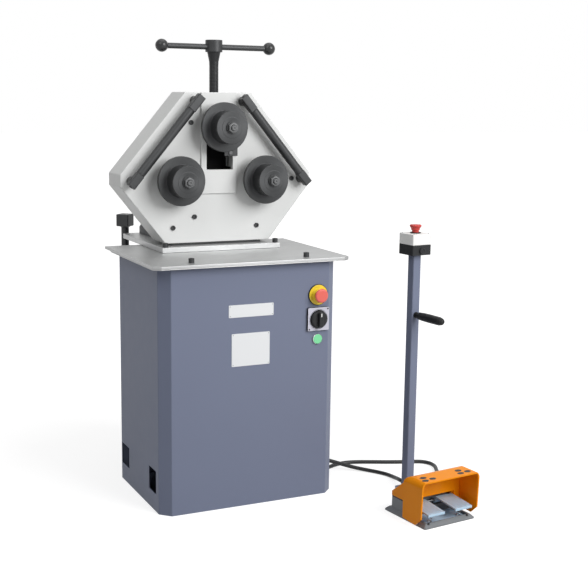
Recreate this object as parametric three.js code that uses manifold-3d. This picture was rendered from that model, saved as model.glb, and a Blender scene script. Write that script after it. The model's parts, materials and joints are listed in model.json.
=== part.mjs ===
// Ring roller: a three-roll bending head on a sheet-metal cabinet, with a foot switch and a station post.
// Millimetres, +Z up. The origin is the centre of the cabinet's underside, on the floor. -Y is the front.
import * as THREE from "three";
import { mergeVertices } from "three/addons/utils/BufferGeometryUtils.js";
import Module from "manifold-3d";

const wasm = await Module();
wasm.setup();

// Clearances
const seat = 0.3; // between faces that touch
const slack = 0.3; // all round a pin, screw or shaft in its hole
const past = 2; // how far a cutting tool runs past the face that it leaves
const sunk = 1; // how far a solid runs into the one that it is joined to

// Facets on round parts
const fine = 24;
const plain = 16;
const coarse = 12;
const hexSides = 6;

// Cabinet
const cabinetWidth = 528;
const cabinetDepth = 370;
const cabinetHeight = 690;
const cabinetChamfer = 28.5;
const sheet = 2;
const topRimWidth = 40;
const backOpeningWidth = 260;
const backOpeningBottom = 70;
const backOpeningTop = 640;
const backPanelLap = 8;
const sideSlotBottom = 50;
const frontSlot = { front: -134, rear: -73, height: 67 };
const rearSlot = { front: 108, rear: 178, height: 63 };

// Wiring inside the cabinet
const wiringPlateY = 60;
const wiringPlateBottom = 250;
const wiringPlateTop = 600;
const wiringPlateReturn = 20;
const contactorSize = { width: 48, depth: 70, height: 80 };
const contactorCount = 3;
const contactorPitch = 90;

// Controls on the front of the cabinet
const controlsFromSide = 63;
const controlsX = cabinetWidth / 2 - controlsFromSide;
const stopDrop = 99; // below the cabinet's top
const stopHeight = cabinetHeight - stopDrop;
const barrelRadius = 11;
const barrelLength = 26;
const stopPlateRadius = 30;
const stopPlateThickness = 1.6;
const stopCollar = { radius: 15, length: 8 };
const stopHead = { radius: 20, neckRadius: 11, length: 14, edge: 3 };
const stopStemRadius = 6;
const stopTravel = 5;
const selectorPlateSide = 67;
const stopToSelector = 5.5;
const selectorHeight = stopHeight - stopPlateRadius - stopToSelector - selectorPlateSide / 2;
const selectorPlateThickness = 3;
const selectorKnob = { radius: 25, length: 14, edge: 3, draft: 2 };
const selectorGrip = { width: 12, length: 10 };
const startRing = { radius: 15, length: 5 };
const selectorToStart = 9.5;
const startHeight = selectorHeight - selectorPlateSide / 2 - selectorToStart - startRing.radius;
const startWell = 2;
const startCap = { radius: 10, length: 4, edge: 0.8 };
const startTravel = 3;

// Cable glands on the right side of the cabinet
const glandPlate = { front: -40, rear: 50, bottom: 5, top: 66, thickness: 3 };
const glandRadius = 11;
const glandLength = 12;
const glandEdge = { length: 3, draft: 2 };
const stationGland = { y: 26, z: 44 };
const footGland = { y: -16, z: 20 };

// Table
const tableOverhang = 27; // in front of the cabinet and at its sides
const tableRearOverhang = 54;
const tableWidth = cabinetWidth + 2 * tableOverhang;
const tableFront = -cabinetDepth / 2 - tableOverhang;
const tableRear = cabinetDepth / 2 + tableRearOverhang;
const tableThickness = 7.7;
const tableRim = { drop: 2.8, width: 8, rearGap: 60 };
const tableChamferX = 20;
const tableChamferY = 15;
const tableBottom = cabinetHeight + seat;
const tableTop = tableBottom + tableThickness;

// Base plate of the head, with the land that the casing stands on
const basePlateWidth = 368;
const basePlateFront = 31;
const basePlateRear = 409;
const basePlateThickness = 15;
const basePlateCorner = 8;
const landWidth = 280;
const landFront = 80;
const landRear = 150;
const landHeight = 6.4;
const basePlateBottom = tableTop + seat;
const basePlateTop = basePlateBottom + basePlateThickness;

// Casing
const casingFront = 67;
const casingDepth = 109;
const casingHeight = 429;
const casingTopWidth = 202;
const casingWideWidth = 587.2;
const casingWideLow = 164;
const casingWideHigh = 199;
const casingBottomWidth = 324;
const frontPlate = 10;
const casingRim = 6;
const backPlate = 7.7;
const casingBottom = basePlateTop + landHeight + seat;
const casingTop = casingBottom + casingHeight;
const casingBack = casingFront + casingDepth;
const casingInsideFront = casingFront + frontPlate;
const backPlateFront = casingBack - backPlate;

// Slide cover and its window
const coverWidth = 109;
const coverThickness = 5.7;
const windowLeft = -38.6;
const windowRight = 43;
const windowHeight = 165.5;
const windowTopDrop = 54; // below the casing's top
const windowTopRise = casingHeight - windowTopDrop;
const windowBottomRise = windowTopRise - windowHeight;
const coverBelowWindow = 68.5;

// Rollers and shafts
const lowerRollerX = 130;
const lowerRollerRise = 181.5;
const topRollerDrop = 97; // below the casing's top
const topRollerRise = casingHeight - topRollerDrop;
const rollerFront = -36.5;
const rollerStep = 14.5;
const rollerBack = 26.5;
const rollerRadius = 46;
const flangeRadius = 70;
const rollerEdge = 1.5;
const shaftRadius = 15;
const shaftCollarRadius = 30;
const shaftCollarBack = 60;
const threadRadius = 8;
const threadFront = -54;
const washer = { radius: 18, thickness: 3 };
const nutAcrossFlats = 27;
const nutThickness = 9.2;
const threadEdge = 1;
const bearingBoss = { radius: 35, length: 20 };

// Gears
const gearModule = 4;
const rollerGearTeeth = 40;
const pinionTeeth = 26;
const gearFront = 124;
const gearWidth = 20;
const gearBacklash = 1.2;
const gearAddendum = 0.95; // in modules
const gearDedendum = 1.25;
const pressureAngle = 20;
const pinionShaftRadius = 12;
const pinionShaftLength = 172;
const pinionBoss = { radius: 22, length: 18, bore: 4 }; // the bore runs into the front plate

// Slide, feed screw and T-handle
const slideWidth = 88;
const slideFront = casingInsideFront + 1;
const slideBack = 119;
const slideBelowRoller = 42;
const slideAboveRoller = 52;
const slideBottomRise = topRollerRise - slideBelowRoller;
const slideTopRise = topRollerRise + slideAboveRoller;
const slideTravel = 70;
const guideRibWidth = 12;
const guideRibPast = 4; // how far the ribs reach below the slide's lowest place
const guideRibBottomRise = slideBottomRise - slideTravel - guideRibPast;
const screwY = 103;
const screwRadius = 13.5;
const spigotRadius = 8;
const spigotLength = 20;
const screwNeckHeight = 87;
const screwConeHeight = 26.7;
const screwConeRadius = 19.2;
const screwHubHeight = 34;
const screwHubRadius = 24.5;
const screwHubEdge = 1.5;
const feedNut = { radius: 20, length: 27, flangeRadius: 25, flangeThickness: 6 };
const handleRadius = 8;
const handleDrop = 2.6; // below the hub's middle
const handleLeft = -156;
const handleRight = 172;
const handleBallRadius = 18.2;
const handleSocketDepth = 12;
const handleBallSteps = 10;

// Pointer on the slide
const pointer = { left: 15, right: 56, below: 41, above: 6, front: 56.5, thickness: 4 };
const pointerArm = { width: 20, below: 10, above: 10 };

// Side guide bars
const guideTopDrop = 10.9; // below the casing's top
const guideTop = { x: 63.5, rise: casingHeight - guideTopDrop };
const guideBottom = { x: 273.5, rise: 167.5 };
const guideY = 36;
const guideCoreRadius = 7;
const guideSleeveRadius = 13;
const guideBlockSide = 24.5;
const guideUpperBlock = 50;
const guideLowerBlock = 43;
const guideStudRadius = 13.5;
const guideUpperStud = 17;
const guideLowerStud = 17;
const guideTipRadius = 4;
const guideTipLength = 2;

// Drive behind the head
const bracketWidth = 268;
const bracketPlate = 10;
const bracketRear = 394;
const bracketRearHeight = 21;
const bracketShelfDepth = 98;
const gearboxDrop = 78;
const gearbox = { width: 130, depth: 92, height: 145, flange: 7.4, flangeRadius: 55 };
const wormHousing = { offset: 63, radius: 36 };
const motorRadius = 60;
const motorLength = 148;
const motorFlange = { radius: 62, thickness: 8 };
const motorCowl = { radius: 62, length: 34, edge: 6, draft: 5 };
const motorGap = 4;
const terminalBox = { width: 60, depth: 26, height: 64, sunk: 6 };
const bracketNose = 40; // height of the gusset plates above the shelf at the casing

// Hinge under the rear edge of the table
const hingeBehindTable = 22;
const hingeBelowTable = 4.3;
const hingeY = tableRear + hingeBehindTable;
const hingeZ = tableBottom - hingeBelowTable;
const hingePinRadius = 6;
const hingeBarrelRadius = 10;
const hingeWidth = 300;
const hingeLeafThickness = 7.7;
const hingeLeafFromCabinet = 7;
const hingeFixedLeafFront = cabinetDepth / 2 + hingeLeafFromCabinet;
const hingeMovingLeafWidth = 60;
const hingeKnuckleGap = 0.5;
const hingeLeafGap = 2;
const hingePinHead = { radius: 8.5, length: 4 };

// Rests that the head lies on when it is tilted back
const restX = 168;
const restY = 432;
const restStemRadius = 12;
const restHeadSide = 42;
const restHeadHeight = 38;
const restTaper = 4;
const restEdge = 3;
const restTop = hingeZ + hingeY - casingBack - seat;
const restArmBottom = 480;
const restArmHeight = 20;
const restArmWidth = 30;
const restFoot = { width: 44, bottom: 440, top: 520, thickness: 6 };

// Foot switch, in its own frame: X along its front edge, Y towards its back
const footPlace = { x: 348.3, y: -551.4, turn: 6.6 };
const footWidth = 175;
const footDepth = 181;
const footEdge = 4;
const footHeight = 13;
const footSlope = 10;
const footSteps = 3;
const footFloor = 5;
const footRim = { side: 16, front: 12 };
const footHousing = { left: 10, right: 165, front: 86, rear: 162, top: 44 };
const housingWall = 4;
const pedalPocketRear = 108;
const footCableGland = { x: 140, z: 28, radius: 10, length: 10 };
const guardLeft = -12.5;
const guardRight = 187.5;
const guardWall = 4;
const guardTopFront = 132;
const guardTopRear = 135;
const guardTopRearY = 48;
const guardBack = 83;
const guardBackTop = 110;
const guardLowFront = 28;
const guardLowRear = 80;
const guardLipHeight = 30;
const guardSideBottom = 8;
const guardCorner = 20;
const guardArchSteps = 5;
const guardCornerSteps = 4;
const guardLipFront = 4;
const guardHemRise = { low: 4, back: 6 }; // of the lower edge, above its front end
const guardTopSlope = 0.4; // what the wall loses in height at its front edge
const pedalSlotTop = 58;
const lidTop = 100;
const lidTopY = 110;
const lidRearTop = 60;
const lidBelowArch = 2;
const lidWall = { rear: 3, ridge: 2, top: 5, front: 9 }; // how far its inside stays below its outside
const pedalLeft = { left: 11, right: 68 };
const pedalRight = { left: 106, right: 164 };
const pedalPivot = { y: 95, z: 36 };
const pedalShaftRadius = 4;
const pedalBossRadius = 8;
const pedalBossClear = 2;
const pedalFrontTop = 40;
const pedalRearTop = 48;
const pedalRearRise = 0.5;
const pedalThickness = 5;
const pedalLip = { depth: 4, drop: 2 };

// Pedal springs
const springLeft = { x: 38, y: 28 };
const springRight = { x: 139, y: 28 };
const springRadius = 6.5;
const springWire = 2.2;
const springCurls = 5;
const curlSteps = 8;
const wireSides = 5;

// Stand and control station on the post
const standThickness = 5;
const standUnderFoot = { left: 62, right: 163, front: 102 };
const standMargin = 12.5;
const postSide = 27;
const postWall = 2;
const postPlace = { x: 164, y: 287 };
const postTop = 701;
const postCableGland = { z: 15, radius: 9, length: 8 };
const gripHeight = 526;
const gripRadius = 12.5;
const gripLength = 108;
const gripNeck = { radius: 6, length: 14, flangeRadius: 9, flangeThickness: 3 };
const gripSwell = { draft: 2, length: 20 };
const gripEnd = { length: 14, draft: 3, edge: 5, faceRadius: 4.5 };
const stationSide = 66;
const stationBaseHeight = 29;
const stationLidHeight = 31;
const stationWall = 3;
const stationNeck = { radius: 15, height: 3 };
const stationStemRadius = 10;
const stationHead = { radius: 17, neckRadius: 12.5, flare: 7, edge: 2, faceRadius: 14, height: 16 };
const stationStemBelow = 20;
const stationTravel = 5;
const stationClear = 1; // what stays between the head and the neck when it is pressed
const stationGlandRadius = 8;
const stationGlandLength = 10;
const stationGlandRise = 12;

// Cables on the floor. Their routes are chosen points in the machine's frame.
const cordRadius = 6;
const cordSides = 8;
const cordStep = 26;
const stationCordRoute = [
  [279.6, 26, 44], [290, 26, 44], [306, 23, 41.5], [326, 13.5, 34.5], [347, 1.1, 27.5],
  [366, -10, 22], [384, -22, 17], [411.7, -43, 10.3], [439, -69.5, 6.9], [462, -99, 6],
  [476.5, -127, 6], [481.5, -155, 7], [480, -180, 10], [476, -201, 13.7], [474.4, -215.9, 15],
  [475.5, -225.8, 15],
];
const footCordRoute = [
  [279.6, -16, 20], [290, -16, 20], [304, -14.5, 17.8], [320, -9.5, 12], [335, -2.5, 7.6],
  [350, 4.4, 6], [366, 11.6, 6], [384, 17.4, 6], [405, 20.2, 6], [428, 18.4, 6],
  [454, 10.9, 6], [497, -7.6, 6], [539, -26.5, 6], [582, -43.5, 6], [617, -55, 6],
  [643, -69, 6], [656.5, -91, 6], [655.5, -120, 6], [642, -151, 6], [625.7, -182, 6],
  [601, -214, 6], [569.4, -244, 6], [539.5, -272, 6], [512, -301, 9.5], [491, -324.5, 17.5],
  [475, -344, 25.5], [466.3, -355, 28], [467.6, -364.1, 28],
];

// Solids
function solidOf(source) {
  const bare = source.clone();
  bare.deleteAttribute("normal");
  bare.deleteAttribute("uv");
  const merged = mergeVertices(bare);
  const points = merged.attributes.position.array;
  const index = merged.index.array;
  const triangles = [];
  let volume = 0;
  const [a, b, c] = [new THREE.Vector3(), new THREE.Vector3(), new THREE.Vector3()];
  for (let i = 0; i < index.length; i += 3) {
    const [p, q, r] = [index[i], index[i + 1], index[i + 2]];
    if (p !== q && q !== r && r !== p) {
      triangles.push(p, q, r);
      a.fromArray(points, 3 * p);
      b.fromArray(points, 3 * q);
      c.fromArray(points, 3 * r);
      volume += a.dot(b.cross(c));
    }
  }
  if (volume < 0) {
    triangles.reverse();
  }
  return new wasm.Manifold(new wasm.Mesh({
    numProp: 3,
    vertProperties: Float32Array.from(points),
    triVerts: Uint32Array.from(triangles),
  }));
}

function geometryOf(solid) {
  const mesh = solid.getMesh();
  const geometry = new THREE.BufferGeometry();
  geometry.setAttribute("position", new THREE.BufferAttribute(Float32Array.from(mesh.vertProperties), 3));
  geometry.setIndex(Array.from(mesh.triVerts));
  geometry.computeVertexNormals();
  return geometry;
}

function join(first, ...others) {
  return others.reduce((whole, part) => whole.add(part), first);
}

function cut(body, ...tools) {
  return tools.reduce((left, tool) => left.subtract(tool), body);
}

function box(x0, x1, y0, y1, z0, z1) {
  const geometry = new THREE.BoxGeometry(x1 - x0, y1 - y0, z1 - z0);
  geometry.translate((x0 + x1) / 2, (y0 + y1) / 2, (z0 + z1) / 2);
  return solidOf(geometry);
}

function shapeOf(points) {
  return new THREE.Shape(points.map(([u, v]) => new THREE.Vector2(u, v)));
}

function extruded(points, depth) {
  return new THREE.ExtrudeGeometry(shapeOf(points), { depth, bevelEnabled: false });
}

// An outline in X and Y, drawn up from z0 to z1.
function slabZ(points, z0, z1) {
  const geometry = extruded(points, z1 - z0);
  geometry.translate(0, 0, z0);
  return solidOf(geometry);
}

// An outline in X and Z, drawn back from y0 to y1.
function slabY(points, y0, y1) {
  const geometry = extruded(points, y1 - y0);
  geometry.rotateX(Math.PI / 2);
  geometry.translate(0, y1, 0);
  return solidOf(geometry);
}

// An outline in Y and Z, drawn across from x0 to x1.
function slabX(points, x0, x1) {
  const geometry = extruded(points, x1 - x0);
  const across = new THREE.Vector3(0, 1, 0);
  const up = new THREE.Vector3(0, 0, 1);
  const along = new THREE.Vector3(1, 0, 0);
  geometry.applyMatrix4(new THREE.Matrix4().makeBasis(across, up, along));
  geometry.translate(x0, 0, 0);
  return solidOf(geometry);
}

// A profile of [radius, distance along the axis] turned about an axis through a centre.
function turned(axis, centre, profile, facets = fine) {
  const points = profile.map(([radius, height]) => new THREE.Vector2(radius, height));
  const geometry = new THREE.LatheGeometry(points, facets);
  if (axis === "x") {
    geometry.rotateZ(-Math.PI / 2);
  }
  if (axis === "z") {
    geometry.rotateX(Math.PI / 2);
  }
  geometry.translate(...centre);
  return solidOf(geometry);
}

function rod(axis, centre, radius, start, end, facets = fine) {
  return turned(axis, centre, [[0, start], [radius, start], [radius, end], [0, end]], facets);
}

function ring(axis, centre, outer, inner, start, end, facets = fine) {
  const profile = [[inner, start], [outer, start], [outer, end], [inner, end], [inner, start]];
  return turned(axis, centre, profile, facets);
}

// Moves every edge of an outline inwards, where the outline runs anticlockwise.
function inset(points, distance) {
  const count = points.length;
  const inward = ([x0, y0], [x1, y1]) => {
    const length = Math.hypot(x1 - x0, y1 - y0);
    return [(y0 - y1) / length, (x1 - x0) / length];
  };
  return points.map(([x, y], i) => {
    const before = inward(points[(i + count - 1) % count], points[i]);
    const after = inward(points[i], points[(i + 1) % count]);
    const spread = 1 + before[0] * after[0] + before[1] * after[1];
    return [
      x + (distance * (before[0] + after[0])) / spread,
      y + (distance * (before[1] + after[1])) / spread,
    ];
  });
}

// Adds a named piece to a group.
function piece(group, name, solid, finish, place = [0, 0, 0], turn = [0, 0, 0]) {
  const mesh = new THREE.Mesh(geometryOf(solid), finish());
  mesh.name = name;
  mesh.position.set(...place);
  mesh.rotation.set(...turn);
  group.add(mesh);
  return mesh;
}

// Finishes
const finish = (color, roughness, metalness) => () =>
  new THREE.MeshStandardMaterial({ color, roughness, metalness });
const cabinetPaint = finish(0x7b8193, 0.55, 0.1);
const palePaint = finish(0xe0e0de, 0.5, 0.05);
const silverPaint = finish(0xa9abac, 0.45, 0.5);
const darkPaint = finish(0x3a3b3d, 0.6, 0.2);
const blackOxide = finish(0x2c2d2e, 0.45, 0.7);
const rollSteel = finish(0x6e6f70, 0.4, 0.8);
const brightSteel = finish(0xb9bbbd, 0.35, 0.9);
const castAluminium = finish(0xb4b5b5, 0.5, 0.8);
const orangePaint = finish(0xe8871a, 0.4, 0.1);
const bronze = finish(0xb08a45, 0.45, 0.8);
const blackPlastic = finish(0x1f1f20, 0.5, 0);
const whitePlastic = finish(0xe6e6e2, 0.45, 0);
const redPlastic = finish(0xc7372f, 0.4, 0);
const yellowPlastic = finish(0xe8cf2a, 0.5, 0);
const greenPlastic = finish(0x2fa35a, 0.4, 0);
const rubber = finish(0x17181a, 0.7, 0);

const machine = new THREE.Group();
const head = new THREE.Group();
machine.add(head);

const cabinetFront = -cabinetDepth / 2;
const cabinetBack = cabinetDepth / 2;
const cabinetSide = cabinetWidth / 2;

// The cabinet's outline in plan, with its front corners cut off.
const cabinetOutline = [
  [-cabinetSide + cabinetChamfer, cabinetFront],
  [cabinetSide - cabinetChamfer, cabinetFront],
  [cabinetSide, cabinetFront + cabinetChamfer],
  [cabinetSide, cabinetBack],
  [-cabinetSide, cabinetBack],
  [-cabinetSide, cabinetFront + cabinetChamfer],
];

function controlHole(height) {
  const centre = [controlsX, cabinetFront, height];
  return rod("y", centre, barrelRadius + slack, -past, sheet + past, plain);
}

function cabinetBody() {
  const slots = [frontSlot, rearSlot].map(({ front, rear, height }) =>
    box(-cabinetSide - past, cabinetSide + past, front, rear, sideSlotBottom, sideSlotBottom + height));
  return cut(
    slabZ(cabinetOutline, 0, cabinetHeight),
    slabZ(inset(cabinetOutline, sheet), sheet, cabinetHeight - sheet),
    slabZ(inset(cabinetOutline, topRimWidth), cabinetHeight - sheet - past, cabinetHeight + past),
    box(-backOpeningWidth / 2, backOpeningWidth / 2, cabinetBack - sheet - past, cabinetBack + past,
      backOpeningBottom, backOpeningTop),
    ...slots,
    controlHole(stopHeight),
    controlHole(selectorHeight),
    controlHole(startHeight),
  );
}

function cabinetBackPanel() {
  const half = backOpeningWidth / 2 + backPanelLap;
  const face = cabinetBack + seat;
  const [bottom, top] = [backOpeningBottom - backPanelLap, backOpeningTop + backPanelLap];
  return box(-half, half, face, face + sheet, bottom, top);
}

// The plate with a rim under its front and side edges.
function tablePlate() {
  const half = tableWidth / 2;
  const outline = [
    [-half + tableChamferX, tableFront],
    [half - tableChamferX, tableFront],
    [half, tableFront + tableChamferY],
    [half, tableRear],
    [-half, tableRear],
    [-half, tableFront + tableChamferY],
  ];
  const rimBottom = tableBottom - tableRim.drop;
  const rimRear = tableRear - tableRim.rearGap;
  return cut(
    join(slabZ(outline, tableBottom, tableTop), slabZ(outline, rimBottom, tableBottom + sunk)),
    slabZ(inset(outline, tableRim.width), rimBottom - past, tableBottom),
    box(-half - past, half + past, rimRear, tableRear + past, rimBottom - past, tableBottom),
  );
}

// A plate across the cabinet with a row of contactors, bolted to the side walls by its returns.
function electricalPanel() {
  const half = cabinetSide - sheet - seat;
  const back = wiringPlateY + sheet;
  const returns = [-half, half - sheet].map((x) =>
    box(x, x + sheet, wiringPlateY, back + wiringPlateReturn, wiringPlateBottom, wiringPlateTop));
  const middle = (wiringPlateBottom + wiringPlateTop) / 2;
  const contactors = Array.from({ length: contactorCount }, (unused, i) => {
    const x = (i - (contactorCount - 1) / 2) * contactorPitch;
    return box(x - contactorSize.width / 2, x + contactorSize.width / 2, wiringPlateY - contactorSize.depth,
      wiringPlateY + sheet / 2, middle - contactorSize.height / 2, middle + contactorSize.height / 2);
  });
  return join(
    box(-half, half, wiringPlateY, back, wiringPlateBottom, wiringPlateTop),
    ...returns,
    ...contactors,
  );
}

piece(machine, "cabinet_body", cabinetBody(), cabinetPaint);
piece(machine, "cabinet_back", cabinetBackPanel(), cabinetPaint);
piece(machine, "table_plate", tablePlate(), silverPaint);
piece(machine, "electrical_panel", electricalPanel(), silverPaint);

// Front controls. Their axis points out of the cabinet's front.
const outwards = [Math.PI, 0, 0];
const control = (height) => [controlsX, cabinetFront, height];
const axisHere = [0, 0, 0];

function stopCollarSolid() {
  const bore = stopStemRadius + slack;
  const plateOut = seat + stopPlateThickness;
  return turned("y", axisHere, [
    [bore, -barrelLength], [barrelRadius, -barrelLength], [barrelRadius, seat], [stopPlateRadius, seat],
    [stopPlateRadius, plateOut], [stopCollar.radius, plateOut],
    [stopCollar.radius, plateOut + stopCollar.length], [bore, plateOut + stopCollar.length],
    [bore, -barrelLength],
  ]);
}

function stopButtonSolid() {
  const face = seat + stopPlateThickness + stopCollar.length;
  const start = face + stopTravel + seat;
  const end = start + stopHead.length;
  return turned("y", axisHere, [
    [0, -barrelLength], [stopStemRadius, -barrelLength], [stopStemRadius, start],
    [stopHead.neckRadius, start], [stopHead.radius, start + stopHead.length / 2],
    [stopHead.radius, end - stopHead.edge], [stopHead.radius - stopHead.edge, end], [0, end],
  ]);
}

function selectorPlateSolid() {
  const half = selectorPlateSide / 2;
  const bore = stopStemRadius + slack;
  return cut(
    join(
      box(-half, half, seat, seat + selectorPlateThickness, -half, half),
      rod("y", axisHere, barrelRadius, -barrelLength, seat + selectorPlateThickness / 2, plain),
    ),
    rod("y", axisHere, bore, -barrelLength - past, selectorPlateThickness + past, plain),
  );
}

function selectorKnobSolid() {
  const face = seat + selectorPlateThickness + seat;
  const { radius, length, edge, draft } = selectorKnob;
  const top = face + length;
  const gripReach = radius - edge;
  return join(
    rod("y", axisHere, stopStemRadius, -barrelLength, face + sunk, plain),
    turned("y", axisHere, [[0, face], [radius, face], [radius, top - edge], [radius - draft, top], [0, top]]),
    box(-selectorGrip.width / 2, selectorGrip.width / 2, top - sunk, top + selectorGrip.length, -gripReach,
      gripReach),
  );
}

function startBezelSolid() {
  const bore = stopStemRadius + slack;
  const well = startCap.radius + slack;
  return turned("y", axisHere, [
    [bore, -barrelLength], [barrelRadius, -barrelLength], [barrelRadius, seat], [startRing.radius, seat],
    [startRing.radius, seat + startRing.length], [well, seat + startRing.length], [well, -startWell],
    [bore, -startWell], [bore, -barrelLength],
  ]);
}

function startButtonSolid() {
  const back = -startWell + startTravel + 2 * seat;
  const { radius, length, edge } = startCap;
  return turned("y", axisHere, [
    [0, -barrelLength], [stopStemRadius, -barrelLength], [stopStemRadius, back], [radius, back],
    [radius, back + length - edge], [radius - edge, back + length], [0, back + length],
  ], plain);
}

piece(machine, "estop_collar", stopCollarSolid(), yellowPlastic, control(stopHeight), outwards);
piece(machine, "estop_button", stopButtonSolid(), redPlastic, control(stopHeight), outwards);
piece(machine, "switch_plate", selectorPlateSolid(), blackPlastic, control(selectorHeight), outwards);
piece(machine, "switch_knob", selectorKnobSolid(), blackPlastic, control(selectorHeight), outwards);
piece(machine, "start_bezel", startBezelSolid(), silverPaint, control(startHeight), outwards);
piece(machine, "start_button", startButtonSolid(), greenPlastic, control(startHeight), outwards);

function cableGlands() {
  const face = cabinetSide + seat;
  const plateOut = face + glandPlate.thickness;
  const glands = [stationGland, footGland].map(({ y, z }) =>
    turned("x", [0, y, z], [
      [0, face], [glandRadius, face], [glandRadius, plateOut + glandLength - glandEdge.length],
      [glandRadius - glandEdge.draft, plateOut + glandLength], [0, plateOut + glandLength],
    ], plain));
  return join(
    box(face, plateOut, glandPlate.front, glandPlate.rear, glandPlate.bottom, glandPlate.top),
    ...glands,
  );
}

piece(machine, "cable_glands", cableGlands(), blackPlastic);

// Head: base plate, bracket and hinge
function headBasePlate() {
  const half = basePlateWidth / 2;
  const land = landWidth / 2;
  return join(
    slabZ([
      [-half, basePlateFront], [half, basePlateFront], [half, basePlateRear - basePlateCorner],
      [half - basePlateCorner, basePlateRear], [-half + basePlateCorner, basePlateRear],
      [-half, basePlateRear - basePlateCorner],
    ], basePlateBottom, basePlateTop),
    box(-land, land, landFront, landRear, basePlateTop - sunk, basePlateTop + landHeight),
  );
}

const pinionRise = lowerRollerRise - Math.sqrt(
  ((rollerGearTeeth + pinionTeeth) * gearModule / 2) ** 2 - lowerRollerX ** 2);
const pinionHeight = casingBottom + pinionRise;
const gearboxBottom = pinionHeight - gearboxDrop;
const gearboxFront = casingBack + seat;
const gearboxTop = gearboxBottom + gearbox.height;
const wormY = gearboxFront + motorCowl.radius + motorGap;

// Two gusset plates joined by the shelf that the gearbox stands on.
function rearBracket() {
  const half = bracketWidth / 2;
  const bottom = basePlateTop + seat;
  const shelfTop = gearboxBottom - seat;
  const front = casingBack + seat;
  const shelfRear = front + bracketShelfDepth;
  const gusset = [
    [front, bottom], [bracketRear, bottom], [bracketRear, bottom + bracketRearHeight],
    [shelfRear, shelfTop], [shelfRear, shelfTop + bracketPlate], [front, shelfTop + bracketNose],
  ];
  return join(
    slabX(gusset, -half, -half + bracketPlate),
    slabX(gusset, half - bracketPlate, half),
    box(-half + bracketPlate / 2, half - bracketPlate / 2, front, shelfRear, shelfTop - bracketPlate,
      shelfTop),
  );
}

const knuckleCount = 5;
const knuckleWidth = hingeWidth / knuckleCount;

// One leaf of the hinge: a flat plate with every other knuckle of the barrel.
function hingeLeaf(plateBox, webBox, firstKnuckle) {
  const knuckles = [];
  for (let i = firstKnuckle; i < knuckleCount; i += 2) {
    const start = -hingeWidth / 2 + i * knuckleWidth + hingeKnuckleGap / 2;
    const end = start + knuckleWidth - hingeKnuckleGap;
    knuckles.push(
      rod("x", [0, hingeY, hingeZ], hingeBarrelRadius, start, end, plain),
      box(start, end, ...webBox),
    );
  }
  const bore = rod("x", [0, hingeY, hingeZ], hingePinRadius + slack, -hingeWidth, hingeWidth, plain);
  return cut(join(box(-hingeWidth / 2, hingeWidth / 2, ...plateBox), ...knuckles), bore);
}

function hingeFixedLeaf() {
  const top = tableBottom - seat;
  const bottom = top - hingeLeafThickness;
  const plateRear = hingeY - hingeBarrelRadius - hingeLeafGap;
  return hingeLeaf(
    [hingeFixedLeafFront, plateRear, bottom, top],
    [plateRear - past, hingeY - hingePinRadius - slack, bottom, top],
    0,
  );
}

function hingeMovingLeaf() {
  const top = basePlateBottom - seat;
  const bottom = top - hingeLeafThickness;
  const plateFront = hingeY + hingeBarrelRadius + hingeLeafGap;
  return hingeLeaf(
    [plateFront, hingeY + hingeMovingLeafWidth, bottom, top],
    [hingeY, plateFront + past, hingeZ + hingePinRadius, top],
    1,
  );
}

function hingePin() {
  const end = hingeWidth / 2 + hingePinHead.length;
  return join(
    rod("x", [0, hingeY, hingeZ], hingePinRadius, -end, end, plain),
    rod("x", [0, hingeY, hingeZ], hingePinHead.radius, hingeWidth / 2 + seat, end, plain),
  );
}

piece(head, "head_base_plate", headBasePlate(), silverPaint);
piece(head, "rear_bracket", rearBracket(), darkPaint);
piece(machine, "hinge_fixed_leaf", hingeFixedLeaf(), blackOxide);
piece(head, "hinge_moving_leaf", hingeMovingLeaf(), blackOxide);
piece(machine, "hinge_pin", hingePin(), brightSteel);

// Casing
const lowerRollerHeight = casingBottom + lowerRollerRise;
const topRollerHeight = casingBottom + topRollerRise;
const rollerPlaces = [[-lowerRollerX, lowerRollerHeight], [lowerRollerX, lowerRollerHeight]];

const casingOutline = [
  [-casingBottomWidth / 2, casingBottom],
  [casingBottomWidth / 2, casingBottom],
  [casingWideWidth / 2, casingBottom + casingWideLow],
  [casingWideWidth / 2, casingBottom + casingWideHigh],
  [casingTopWidth / 2, casingTop],
  [-casingTopWidth / 2, casingTop],
  [-casingWideWidth / 2, casingBottom + casingWideHigh],
  [-casingWideWidth / 2, casingBottom + casingWideLow],
];

function windowTool(front, back) {
  return box(windowLeft, windowRight, front, back,
    casingBottom + windowBottomRise, casingBottom + windowTopRise);
}

// Two ribs behind the front plate guide the slide.
function guideRibs() {
  const near = slideWidth / 2 + slack;
  return [-near - guideRibWidth, near].map((x) =>
    box(x, x + guideRibWidth, casingInsideFront - sunk, slideBack, casingBottom + guideRibBottomRise,
      casingBottom + slideTopRise));
}

function headCasing() {
  const shell = cut(
    slabY(casingOutline, casingFront, casingBack),
    slabY(inset(casingOutline, casingRim), casingInsideFront, casingBack + past),
  );
  const bearingBack = casingInsideFront + bearingBoss.length;
  const bosses = rollerPlaces.map(([x, z]) =>
    rod("y", [x, 0, z], bearingBoss.radius, casingInsideFront - sunk, bearingBack));
  const smallBoss = rod("y", [0, 0, pinionHeight], pinionBoss.radius, casingInsideFront - sunk,
    casingInsideFront + pinionBoss.length, plain);
  const bores = rollerPlaces.map(([x, z]) =>
    rod("y", [x, 0, z], shaftRadius + slack, casingFront - past, bearingBack + past));
  return cut(
    join(shell, ...bosses, smallBoss, ...guideRibs()),
    ...bores,
    rod("y", [0, 0, pinionHeight], pinionShaftRadius + slack, casingInsideFront - pinionBoss.bore,
      casingInsideFront + pinionBoss.length + past, plain),
    windowTool(casingFront - past, casingInsideFront + past),
    rod("z", [0, screwY, 0], screwRadius + slack, casingTop - casingRim - past, casingTop + past),
  );
}

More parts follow.
